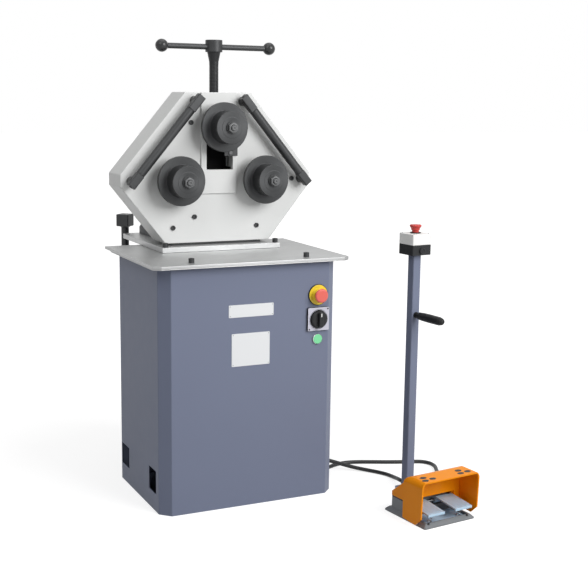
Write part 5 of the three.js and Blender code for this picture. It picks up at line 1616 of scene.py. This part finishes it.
def build_foot_base(settings):
    """The base casting: sloping edges, a recessed floor and the switch housing behind it."""
    width, depth = settings.width, settings.depth
    edge, height, slope, floor, wall = 0.004, 0.013, 0.010, 0.005, 0.004
    left, right, front, rear, top = (HOUSING[key] for key in ("left", "right", "front", "rear", "top"))
    base = prism(rectangle(0, width, 0, depth), [
        (0.0006, 0), (0, 0.0006), (0, edge), (slope - 0.001, height - 0.0008), (slope + 0.001, height),
    ], 0.005, 4)
    box = plate(rectangle(left, right, front, rear), edge, top, 0.0006, 0.003)
    gland_x, gland_z, gland_radius = 0.140, 0.028, 0.010
    gland = rod(gland_radius, 0.002, gland_radius, 0.001)
    gland = moved(gland, facing((gland_x, rear - 0.002, gland_z), "back"))
    base = shaped(base, [box, gland], "UNION")
    recess_side, recess_front = 0.016, 0.012
    past = 0.06
    inner_left, inner_right = left + wall, right - wall
    recess = rectangle(recess_side, width - recess_side, recess_front, front)
    stand = rectangle(STAND["left"] - GAP, STAND["right"] + GAP, STAND["front"] - GAP, 2 * depth)
    tools = [
        through(recess, floor, past, Matrix(), 0.002),
        through(rectangle(inner_left, inner_right, 0.080, 0.108), 0.026, past, Matrix()),
        through(rectangle(inner_left, inner_right, 0.112, rear - wall), 0.018, past, Matrix()),
        through(stand, -0.01, floor + GAP, Matrix()),
        pin_hole(),
    ]
    return shaped(base, tools)


def guard_side(thickness):
    """The guard's side profile, in y and z. With a thickness, it is the space inside."""
    back, top, front = GUARD["back"] - thickness, GUARD["top"] - thickness, GUARD["front"]
    crown, shoulder = 0.048, 0.110
    arch = arc((0, 0), 1, 90, 0, 8)
    curve = [(crown + (back - crown) * u, shoulder + (top - shoulder) * v) for u, v in arch][::-1]
    if thickness:
        return [(-0.01, -0.01), (back, -0.01)] + curve + [(-0.01, front - thickness - 0.0004)]
    return [(0.004, 0.030), (0.028, 0.008), (0.080, 0.012), (back, 0.014)] + curve + [(0, front)]


def guard_body(inset_by, corner):
    """The guard's side profile drawn across, kept inside an arch that is seen from the front."""
    left, right = GUARD["left"], GUARD["right"]
    outline = rectangle(left + inset_by, right - inset_by, -inset_by, GUARD["top"] - inset_by)
    arch = through(rounded(outline, [0, 0, corner, corner], 8), -0.01, 0.2, facing((0, 0.1, 0), "front"))
    past = 0.01
    drawn = moved(plate(guard_side(inset_by), left - past, right + past, edge=0), across())
    return shaped(drawn, [arch], "INTERSECT")


def build_guard(settings):
    """The guard over the pedals, with the lid of the switch housing behind it."""
    wall, corner, back = settings.wall, settings.guard_corner, GUARD["back"]
    left, right, rear = HOUSING["left"], HOUSING["right"], HOUSING["rear"]
    shell = shaped(guard_body(0, corner), [guard_body(wall, corner - wall)])
    seam = HOUSING["top"] + GASKET
    lid_front, low_inside = back - wall + 0.001, 0.004
    inner_front, inner_rear = back - wall - 0.002, back + 0.002
    lid = [(lid_front, seam), (rear, seam), (rear, 0.060), (0.110, 0.100), (lid_front, 0.108)]
    hollow = [(back, seam - 0.002), (0.158, seam - 0.002), (0.158, 0.057), (0.108, 0.095), (back, 0.101)]
    shell = shaped(shell, [moved(plate(lid, left, right, 0.0012, 0.002), across())], "UNION")
    tools = [
        moved(plate(hollow, left + low_inside, right - low_inside, edge=0), across()),
        through(rectangle(left - GAP, right + GAP, inner_front, inner_rear), -0.01, seam, Matrix()),
        through(rectangle(left + GAP, right - GAP, inner_front, inner_rear), seam - 0.002, 0.058, Matrix()),
    ]
    return shaped(shell, tools)


def tread_height(y):
    """The height of a pedal's tread above the floor."""
    return 0.040 + 0.008 * y / 0.083


def build_pedal(settings, side, left, right):
    """A pedal with ribs along its tread, a lip in front and the boss that it turns on."""
    thickness = settings.pedal_thickness
    pin_y, pin_z = PEDAL_PIN["y"], PEDAL_PIN["z"]
    lip = tread_height(0) - thickness - 0.002
    profile = [
        (0, lip), (0.004, lip), (0.005, tread_height(0.005) - thickness),
        (0.080, tread_height(0.080) - thickness), (0.091, 0.032), (0.099, 0.040), (0.088, 0.0485),
        (0, tread_height(0)),
    ]
    tread = moved(plate(profile, left, right, 0.0008, 0.0008), across())
    boss = moved(rod(2 * PEDAL_PIN["radius"], left, right, 0.0006), facing((0, pin_y, pin_z), "right"))
    shape = shaped(tread, [boss], "UNION")
    cheek, cheek_front, cheek_rear, past = 0.0143, 0.085, 0.170, 0.06
    tools = [pin_hole()]
    for x0, x1 in ((0, cheek), (settings.width - cheek, settings.width)):
        tools.append(through(rectangle(x0, x1, cheek_front, cheek_rear), 0, past, Matrix()))
    body = f"{side}_pedal"
    piece(f"{side}_tread", shaped(shape, tools), foot_frame(), "cast_aluminium", body, [f"pedal_{side}"],
          "pedal_aluminium")
    ribs = int((right - left - 0.008) / settings.rib_pitch)
    start = (left + right - (ribs - 1) * settings.rib_pitch) / 2
    rise, rib_half, rib_front, rib_rear = 0.0007, 0.0014, 0.006, 0.076
    for i in range(ribs):
        x = start + i * settings.rib_pitch
        strip = [(y, tread_height(y) + z) for y, z in (
            (rib_front, -rise), (rib_rear, -rise), (rib_rear, rise), (rib_front, rise))]
        rib = moved(plate(strip, x - rib_half, x + rib_half, 0.0006), across())
        piece(f"{side}_tread_rib_{i + 1}", rib, foot_frame(), "cast_aluminium", body, look="pedal_aluminium")


def coil(radius, wire, bottom, top, turns):
    """A compression spring with its end turns laid flat."""
    steps = turns * 16
    centre_radius = radius - wire / 2
    points = []
    for i in range(steps + 1):
        share = i / steps
        flat = 1 / turns * 0.7
        rise = min(max((share - flat) / (1 - 2 * flat), 0), 1)
        angle = 2 * math.pi * turns * share
        height = bottom + wire / 2 + (top - bottom - wire) * rise
        points.append(Vector((centre_radius * math.cos(angle), centre_radius * math.sin(angle), height)))
    loops = []
    for i, point in enumerate(points):
        along = (points[min(i + 1, steps)] - points[max(i - 1, 0)]).normalized()
        outward = Vector((point.x, point.y, 0))
        outward = (outward - along * outward.dot(along)).normalized()
        upward = along.cross(outward)
        loops.append([point + (outward * u + upward * v) for u, v in circle(wire / 2, 12)])
    return loft(loops)


def gasket():
    """The dark strip between the housing and its lid, open towards the pedals."""
    inner, width = 0.0008, 0.003
    left, right = HOUSING["left"] + inner, HOUSING["right"] - inner
    front, rear = HOUSING["front"], HOUSING["rear"] - inner
    outline = [
        (left, front), (left + width, front), (left + width, rear - width), (right - width, rear - width),
        (right - width, front), (right, front), (right, rear), (left, rear),
    ]
    return plate(outline, HOUSING["top"] + GAP, HOUSING["top"] + GASKET - GAP, edge=0)


def guard_spots(here):
    """Three oval black spots over each pedal on the guard's roof."""
    slope = math.atan2(GUARD["top"] - GUARD["front"], 0.048)
    roof = here @ Matrix.Translation((0, 0, GUARD["front"])) @ Matrix.Rotation(slope, 4, "X")
    half_width, half_depth = 0.0105, 0.0068
    spot = [(half_width * x, half_depth * y) for x, y in circle(1, 32)]
    for side, x in (("left", 0.0145), ("right", 0.137)):
        for i, (u, v) in enumerate([(-0.006, 0.015), (0.000, 0.033), (0.021, 0.018)], 1):
            piece(f"{side}_guard_spot_{i}", plate(spot, 0, 0.0003, 0.0001),
                  roof @ Matrix.Translation((x + u, v, 0)), "black_plastic", "root")


def stand_outline(depth):
    """The stand plate in plan: a strip below the casting that slants to a square below the post."""
    reach = 0.026
    x, y = POST_PLACE[:2]
    left, right, front = STAND["left"], STAND["right"], STAND["front"]
    return [
        (left, front), (right, front), (right, depth), (x + reach, y - reach), (x + reach, y + reach),
        (x - reach, y + reach), (left, depth),
    ]


def build_foot():
    """The foot switch: casting, guard, pedals, springs, screws and the stand plate below it."""
    settings = bpy.context.scene.ring_roller_foot
    here = foot_frame()
    piece("foot_casting", build_foot_base(settings), here, "cast_aluminium", "root", ["foot_base"])
    piece("guard", build_guard(settings), here, "orange_paint", "root", ["foot_guard"])
    piece("lid_gasket", gasket(), here, "black_plastic", "root")
    margin, front, rear = 0.018, 0.014, 0.084
    floor = plate(rectangle(margin, settings.width - margin, front, rear), 0.0051, 0.0062, 0.0003, 0.002)
    piece("foot_floor", floor, here, "cast_aluminium", "root", look="pedal_aluminium")
    for side, left, right in PEDALS:
        build_pedal(settings, side, left, right)
    pin = rod(PEDAL_PIN["radius"], HOUSING["left"], HOUSING["right"])
    pin_place = here @ facing((0, PEDAL_PIN["y"], PEDAL_PIN["z"]), "right")
    piece("pedal_rod", pin, pin_place, "bright_steel", "root", ["pedal_shaft"])
    for side, x in SPRINGS:
        node = f"pedal_spring_{side}"
        lo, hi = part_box(node)
        spring = coil(0.0065, settings.wire, lo.z, hi.z, settings.curls)
        place = here @ facing((x, SPRING_Y, 0))
        made = piece(f"{side}_spring", spring, place, "spring_steel", "root", [node])
        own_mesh(made)
    places = [here @ facing((x, y, 0.0105)) for x, y in ((0.018, 0.0075), (0.1525, 0.006))]
    screws("foot_screw", "foot", places, "black_oxide", "root")
    guard_spots(here)
    stand = plate(stand_outline(settings.depth), 0, 0.005, 0.0008, 0.002)
    piece("stand", stand, here, "cabinet_paint", "root", ["stand_plate"])


# Post and control station


def build_station():
    """The square post with its grip and the control station on top."""
    settings = bpy.context.scene.ring_roller_station
    here = foot_frame() @ Matrix.Translation(POST_PLACE)
    lo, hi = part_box("post")
    half, wall = 0.0135, settings.post_wall
    outline = rectangle(-half, half, -half, half)
    column = plate(outline, lo.z, hi.z, 0.0004, settings.post_corner)
    hollow = through(inset(outline, wall), -0.1, 1.0, Matrix(), settings.post_corner - wall)
    piece("post_tube", shaped(column, [hollow]), here, "cabinet_paint", "root", ["post"])
    mouth, collar, nose, gland_height = 0.0061, 0.009, 0.0078, 0.015
    gland = turned([(mouth, half - wall), (collar, half - wall), (collar, half + 0.007), (nose, half + 0.008),
                    (mouth, half + 0.008)], 0.0006, SMALL_ROUND)
    piece("post_gland", gland, here @ facing((0, 0, gland_height), "back"), "black_plastic", "root")
    build_grip(settings, here, half)
    build_station_box(settings, here)


def build_grip(settings, here, half):
    """The grip: a flange and a neck on the post, and a swelling handle with a rounded end."""
    start = half + GAP
    bulb = start + 0.014
    end = bulb + 0.108
    radius, flange, neck, height = settings.grip_radius, 0.009, 0.006, 0.526
    profile = [
        (0, start), (flange, start), (flange, start + 0.003), (neck, start + 0.003), (neck, bulb),
        (radius - 0.002, bulb + 0.002), (radius - 0.0006, bulb + 0.020), (radius, bulb + 0.050),
        (radius - 0.0004, end - 0.016), (radius - 0.003, end - 0.005), (neck - 0.0005, end), (0, end),
    ]
    edges = [0, 0.0005, 0.0005, 0.0005, 0.0005, 0.002, 0.02, 0.03, 0.008, 0.006, 0.004, 0]
    shape = lathe(rounded(profile, edges, 4, closed=False), 48)
    piece("grip", shape, here @ facing((0, 0, height), "front"), "grip_plastic", "root", ["post_grip"])


def build_station_box(settings, here):
    """The station's base and lid, its screws, plug and red mushroom button."""
    lo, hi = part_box("station_base")
    lid_lo, lid_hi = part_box("station_lid")
    half, corner, wall = 0.033, settings.box_corner, settings.box_wall
    outline = rectangle(-half, half, -half, half)
    hollow = through(inset(outline, wall), lo.z + wall, 1.0, Matrix(), corner - wall)
    base = shaped(plate(outline, lo.z, hi.z, 0.0008, corner), [hollow])
    piece("station_bottom", base, here, "black_plastic", "root", ["station_base"])
    neck, hole, collar = 0.003, 0.0103, 0.0155
    top = lid_hi.z - neck
    tools = [
        through(inset(outline, wall), 0.5, top - wall, Matrix(), corner - wall),
        through(circle(hole), 0.5, 1.0, Matrix()),
    ]
    lid = shaped(plate(outline, lid_lo.z, top, 0.0012, corner), tools)
    piece("station_top", lid, here, "white_plastic", "root", ["station_lid"])
    piece("station_neck", tube(collar, hole, top, top + neck, 0.0006, 48), here, "black_plastic", "root")
    places = [here @ facing((x, y, top)) for x, y in inset(outline, 0.0065)]
    screws("station_screw", "station", places, "bright_steel", "root")
    wide, narrow, bottom, floor = 0.0098, 0.0085, 0.0052, 0.0032
    cap = turned([(0, 0), (wide, 0), (wide, 0.003), (narrow, 0.0045), (0.006, 0.0045), (bottom, floor),
                  (0, floor)], 0.0006, SMALL_ROUND)
    piece("station_plug", cap, here @ facing((0, -half, lo.z + 0.012), "front"), "black_plastic", "root")
    button_lo, button_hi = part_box("station_button")
    rise = button_hi.z
    foot = rise - 0.016
    stem, skirt, head = 0.010, 0.0122, 0.0170
    profile = [
        (0, button_lo.z), (stem, button_lo.z), (stem, foot), (skirt, foot), (skirt + 0.0008, foot + 0.005),
        (head, foot + 0.0105), (head, rise - 0.002), (head - 0.0025, rise - 0.0002), (0, rise),
    ]
    edges = [0, 0.0005, 0.0005, 0.001, 0.006, 0.004, 0.0016, 0.003, 0]
    piece("station_mushroom", lathe(rounded(profile, edges, 4, closed=False)), here, "red_plastic",
          "station_stop", ["station_button"])


# Cables


STATION_CABLE = [
    (279.6, 26, 44), (290, 26, 44), (306, 23, 41.5), (326, 13.5, 34.5), (347, 1.1, 27.5),
    (366, -10, 22), (384, -22, 17), (411.7, -43, 10.3), (439, -69.5, 6.9), (462, -99, 6),
    (476.5, -127, 6), (481.5, -155, 7), (480, -180, 10), (476, -201, 13.7), (474.4, -215.9, 15),
    (475.5, -225.8, 15),
]  # the points of cord_a's route, in millimetres
FOOT_CABLE = [
    (279.6, -16, 20), (290, -16, 20), (304, -14.5, 17.8), (320, -9.5, 12), (335, -2.5, 7.6),
    (350, 4.4, 6), (366, 11.6, 6), (384, 17.4, 6), (405, 20.2, 6), (428, 18.4, 6),
    (454, 10.9, 6), (497, -7.6, 6), (539, -26.5, 6), (582, -43.5, 6), (617, -55, 6),
    (643, -69, 6), (656.5, -91, 6), (655.5, -120, 6), (642, -151, 6), (625.7, -182, 6),
    (601, -214, 6), (569.4, -244, 6), (539.5, -272, 6), (512, -301, 9.5), (491, -324.5, 17.5),
    (475, -344, 25.5), (466.3, -355, 28), (467.6, -364.1, 28),
]  # the points of cord_b's route, in millimetres
MILLIMETRE = 0.001


def smooth_route(route, steps=8):
    """Points on a centripetal Catmull-Rom curve through a route in millimetres."""
    points = [Vector(point) * MILLIMETRE for point in route]
    points = [2 * points[0] - points[1], *points, 2 * points[-1] - points[-2]]
    result = [points[1]]
    for p0, p1, p2, p3 in zip(points, points[1:], points[2:], points[3:]):
        t1 = math.sqrt((p1 - p0).length)
        t2 = t1 + math.sqrt((p2 - p1).length)
        t3 = t2 + math.sqrt((p3 - p2).length)
        for i in range(1, steps + 1):
            t = t1 + (t2 - t1) * i / steps
            a1 = p0.lerp(p1, t / t1)
            a2 = p1.lerp(p2, (t - t1) / (t2 - t1))
            a3 = p2.lerp(p3, (t - t2) / (t3 - t2))
            b1 = a1.lerp(a2, t / t2)
            b2 = a2.lerp(a3, (t - t1) / (t3 - t1))
            result.append(b1.lerp(b2, (t - t1) / (t2 - t1)))
    return result


def cable(name, route, node, radius):
    """A cable along a route, in place of a cord of the frame."""
    points = smooth_route(route)
    curve = bpy.data.curves.new(name, "CURVE")
    curve.dimensions = "3D"
    curve.bevel_depth = radius
    curve.bevel_resolution = 6
    curve.use_fill_caps = True
    spline = curve.splines.new("POLY")
    spline.points.add(len(points) - 1)
    for target, point in zip(spline.points, points):
        target.co = (*point, 1)
    curve.materials.append(finish("cable_rubber"))
    made = bpy.data.objects.new(name, curve)
    bpy.context.scene.collection.objects.link(made)
    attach(made, "root")
    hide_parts(node)


def build_cables():
    """The two cables that lie on the floor."""
    radius = bpy.context.scene.ring_roller_cables.radius
    cable("station_cable", STATION_CABLE, "cord_a", radius)
    cable("foot_cable", FOOT_CABLE, "cord_b", radius)


# Light, floor and camera


CAMERA_PLACE = (-1.22451, -2.97456, 1.13633)
CAMERA_YAW = math.radians(25.8424)
CAMERA_PITCH = math.radians(9.8668)
CAMERA_ROLL = math.radians(0.7881)


def camera_matrix():
    """Where the camera stands and which way it looks: turned from +Y towards +X, tipped down and rolled."""
    forward = Vector((
        math.sin(CAMERA_YAW) * math.cos(CAMERA_PITCH),
        math.cos(CAMERA_YAW) * math.cos(CAMERA_PITCH),
        -math.sin(CAMERA_PITCH),
    ))
    level = Vector((math.cos(CAMERA_YAW), -math.sin(CAMERA_YAW), 0))
    upright = level.cross(forward)
    right = level * math.cos(CAMERA_ROLL) + upright * math.sin(CAMERA_ROLL)
    up = upright * math.cos(CAMERA_ROLL) - level * math.sin(CAMERA_ROLL)
    rotation = Matrix((right, up, -forward)).transposed()
    return Matrix.Translation(CAMERA_PLACE) @ rotation.to_4x4()


def lamp(name, place, target, size, power):
    """A square area lamp that looks at a target."""
    light = bpy.data.lights.new(name, "AREA")
    light.energy = power
    light.size = size
    made = bpy.data.objects.new(name, light)
    bpy.context.scene.collection.objects.link(made)
    made.location = place
    made.rotation_euler = (Vector(target) - Vector(place)).to_track_quat("-Z", "Y").to_euler()
    return made


def where_seen(tree, hidden, seen):
    """A value that differs where the camera, a reflection or glass looks."""
    path = tree.nodes.new("ShaderNodeLightPath")
    looked_at = path.outputs["Is Camera Ray"]
    for ray in ("Is Glossy Ray", "Is Transmission Ray"):
        larger = tree.nodes.new("ShaderNodeMath")
        larger.operation = "MAXIMUM"
        tree.links.new(looked_at, larger.inputs[0])
        tree.links.new(path.outputs[ray], larger.inputs[1])
        looked_at = larger.outputs[0]
    spread = tree.nodes.new("ShaderNodeMapRange")
    spread.inputs["To Min"].default_value = hidden
    spread.inputs["To Max"].default_value = seen
    tree.links.new(looked_at, spread.inputs["Value"])
    return spread.outputs[0]


def build_world(ambient):
    """White where the camera and reflections see it, and an even light elsewhere."""
    world = bpy.data.worlds.new("studio")
    bpy.context.scene.world = world
    world.use_nodes = True
    tree = world.node_tree
    background = tree.nodes["Background"]
    background.inputs["Color"].default_value = (1, 1, 1, 1)
    tree.links.new(where_seen(tree, ambient, 1), background.inputs["Strength"])


NEAR_FLOOR, FAR_FLOOR = 0.7, 1.9  # metres from the middle, between which the floor turns white


def build_floor(size, glow):
    """A pale floor that keeps the object's shadow."""
    half = size / 2
    mesh = bpy.data.meshes.new("floor")
    corners = [(x, y, 0) for x, y in rectangle(-half, half, -half, half)]
    mesh.from_pydata(corners, [], [(0, 1, 2, 3)])
    material = bpy.data.materials.new("floor")
    material.use_nodes = True
    shader = material.node_tree.nodes["Principled BSDF"]
    shader.inputs["Base Color"].default_value = (0.42, 0.42, 0.42, 1)
    shader.inputs["Roughness"].default_value = 0.9
    shader.inputs["Specular IOR Level"].default_value = 0.1
    shader.inputs["Emission Color"].default_value = (1, 1, 1, 1)
    tree = material.node_tree
    place = tree.nodes.new("ShaderNodeTexCoord").outputs["Object"]
    distance_away = tree.nodes.new("ShaderNodeVectorMath")
    distance_away.operation = "LENGTH"
    tree.links.new(place, distance_away.inputs[0])
    spread = tree.nodes.new("ShaderNodeMapRange")
    for name, value in (("From Min", NEAR_FLOOR), ("From Max", FAR_FLOOR), ("To Min", glow), ("To Max", 1)):
        spread.inputs[name].default_value = value
    tree.links.new(distance_away.outputs["Value"], spread.inputs["Value"])
    strength = tree.nodes.new("ShaderNodeMath")
    strength.operation = "MULTIPLY"
    tree.links.new(spread.outputs[0], strength.inputs[0])
    tree.links.new(where_seen(tree, 0, 1), strength.inputs[1])
    tree.links.new(strength.outputs[0], shader.inputs["Emission Strength"])
    mesh.materials.append(material)
    made = bpy.data.objects.new("floor", mesh)
    bpy.context.scene.collection.objects.link(made)
    return made


def build_stage():
    """The camera, the lamps, the world and the floor."""
    scene = bpy.context.scene
    settings = scene.ring_roller_stage
    camera = bpy.data.cameras.new("camera")
    camera.lens = settings.focal_length
    camera.sensor_width = 36
    view = bpy.data.objects.new("camera", camera)
    scene.collection.objects.link(view)
    view.matrix_world = camera_matrix()
    scene.camera = view
    centre = (0.1, 0, 0.55)
    lamps = [
        lamp("key lamp", (1.7, -3.3, 2.4), centre, 2.4, settings.key_light),
        lamp("fill lamp", (-2.2, -1.6, 3.4), centre, 2.4, settings.fill_light),
        lamp("top lamp", (0.2, 0.0, 3.6), centre, 2.4, settings.top_light),
    ]
    build_world(settings.ambient)
    scene.view_settings.view_transform = "Standard"
    build_floor(settings.floor_size, settings.floor_glow)


# The add-on


class RINGROLLER_OT_finishes(bpy.types.Operator):
    """Make the materials"""

    bl_idname = "ringroller.finishes"
    bl_label = "Finishes"

    def execute(self, context):
        for slot, kind in FINISHES.items():
            if kind in SURFACES:
                surface(slot, **SURFACES[kind])
            else:
                kind(slot)
        return {"FINISHED"}


class RINGROLLER_OT_cabinet(bpy.types.Operator):
    """Fold the cabinet and fit its plates"""

    bl_idname = "ringroller.cabinet"
    bl_label = "Cabinet"

    def execute(self, context):
        build_cabinet()
        return {"FINISHED"}


class RINGROLLER_OT_controls(bpy.types.Operator):
    """Fit the controls and the gland plate"""

    bl_idname = "ringroller.controls"
    bl_label = "Controls"

    def execute(self, context):
        build_controls()
        return {"FINISHED"}


class RINGROLLER_OT_table(bpy.types.Operator):
    """Lay the table and the base plate"""

    bl_idname = "ringroller.table"
    bl_label = "Table"

    def execute(self, context):
        build_table()
        return {"FINISHED"}


class RINGROLLER_OT_casing(bpy.types.Operator):
    """Weld the casing and screw on its cover and back"""

    bl_idname = "ringroller.casing"
    bl_label = "Casing"

    def execute(self, context):
        build_casing()
        return {"FINISHED"}


class RINGROLLER_OT_rollers(bpy.types.Operator):
    """Turn the rollers, shafts and nuts"""

    bl_idname = "ringroller.rollers"
    bl_label = "Rollers"

    def execute(self, context):
        build_rollers()
        return {"FINISHED"}


class RINGROLLER_OT_feed(bpy.types.Operator):
    """Fit the slide, the feed screw and the handle"""

    bl_idname = "ringroller.feed"
    bl_label = "Feed"

    def execute(self, context):
        build_feed()
        return {"FINISHED"}


class RINGROLLER_OT_guides(bpy.types.Operator):
    """Fit the side guides"""

    bl_idname = "ringroller.guides"
    bl_label = "Guides"

    def execute(self, context):
        build_guides()
        return {"FINISHED"}


class RINGROLLER_OT_drive(bpy.types.Operator):
    """Fit the bracket, gearbox, motor and rests"""

    bl_idname = "ringroller.drive"
    bl_label = "Drive"

    def execute(self, context):
        build_drive()
        return {"FINISHED"}


class RINGROLLER_OT_foot(bpy.types.Operator):
    """Build the foot switch on its stand"""

    bl_idname = "ringroller.foot"
    bl_label = "Foot switch"

    def execute(self, context):
        build_foot()
        return {"FINISHED"}


class RINGROLLER_OT_station(bpy.types.Operator):
    """Put up the post and the control station"""

    bl_idname = "ringroller.station"
    bl_label = "Station"

    def execute(self, context):
        build_station()
        return {"FINISHED"}


class RINGROLLER_OT_cables(bpy.types.Operator):
    """Lay the two cables"""

    bl_idname = "ringroller.cables"
    bl_label = "Cables"

    def execute(self, context):
        build_cables()
        return {"FINISHED"}


class RINGROLLER_OT_stage(bpy.types.Operator):
    """Set up the camera, the lamps and the floor"""

    bl_idname = "ringroller.stage"
    bl_label = "Stage"

    def execute(self, context):
        build_stage()
        return {"FINISHED"}


class RINGROLLER_PT_panel(bpy.types.Panel):
    """The sidebar's panel"""

    bl_label = "Ring Roller"
    bl_idname = "RINGROLLER_PT_panel"
    bl_space_type = "VIEW_3D"
    bl_region_type = "UI"
    bl_category = "Ring Roller"

    def draw(self, context):
        for name, settings in SETTINGS.items():
            box = self.layout.box()
            box.label(text=name.capitalize())
            group = getattr(context.scene, f"ring_roller_{name}")
            for setting in settings.__annotations__:
                box.prop(group, setting)
        for operator in OPERATORS:
            self.layout.operator(operator.bl_idname)


SETTINGS = {
    "colours": RINGROLLER_PG_colours,
    "cabinet": RINGROLLER_PG_cabinet,
    "controls": RINGROLLER_PG_controls,
    "table": RINGROLLER_PG_table,
    "casing": RINGROLLER_PG_casing,
    "rollers": RINGROLLER_PG_rollers,
    "feed": RINGROLLER_PG_feed,
    "guides": RINGROLLER_PG_guides,
    "drive": RINGROLLER_PG_drive,
    "foot": RINGROLLER_PG_foot,
    "station": RINGROLLER_PG_station,
    "cables": RINGROLLER_PG_cables,
    "stage": RINGROLLER_PG_stage,
}
OPERATORS = (
    RINGROLLER_OT_finishes,
    RINGROLLER_OT_cabinet,
    RINGROLLER_OT_controls,
    RINGROLLER_OT_table,
    RINGROLLER_OT_casing,
    RINGROLLER_OT_rollers,
    RINGROLLER_OT_feed,
    RINGROLLER_OT_guides,
    RINGROLLER_OT_drive,
    RINGROLLER_OT_foot,
    RINGROLLER_OT_station,
    RINGROLLER_OT_cables,
    RINGROLLER_OT_stage,
)


def register():
    """Adds the add-on's classes and settings."""
    for cls in (*SETTINGS.values(), *OPERATORS, RINGROLLER_PT_panel):
        bpy.utils.register_class(cls)
    for name, settings in SETTINGS.items():
        setattr(bpy.types.Scene, f"ring_roller_{name}", PointerProperty(type=settings))


def unregister():
    """Takes them away again."""
    for name in SETTINGS:
        delattr(bpy.types.Scene, f"ring_roller_{name}")
    for cls in (RINGROLLER_PT_panel, *reversed(OPERATORS), *reversed(SETTINGS.values())):
        bpy.utils.unregister_class(cls)


def main():
    """Builds the whole machine, piece by piece."""
    register()
    for operator in OPERATORS:
        group, name = operator.bl_idname.split(".")
        getattr(getattr(bpy.ops, group), name)()


if __name__ == "__main__":
    main()
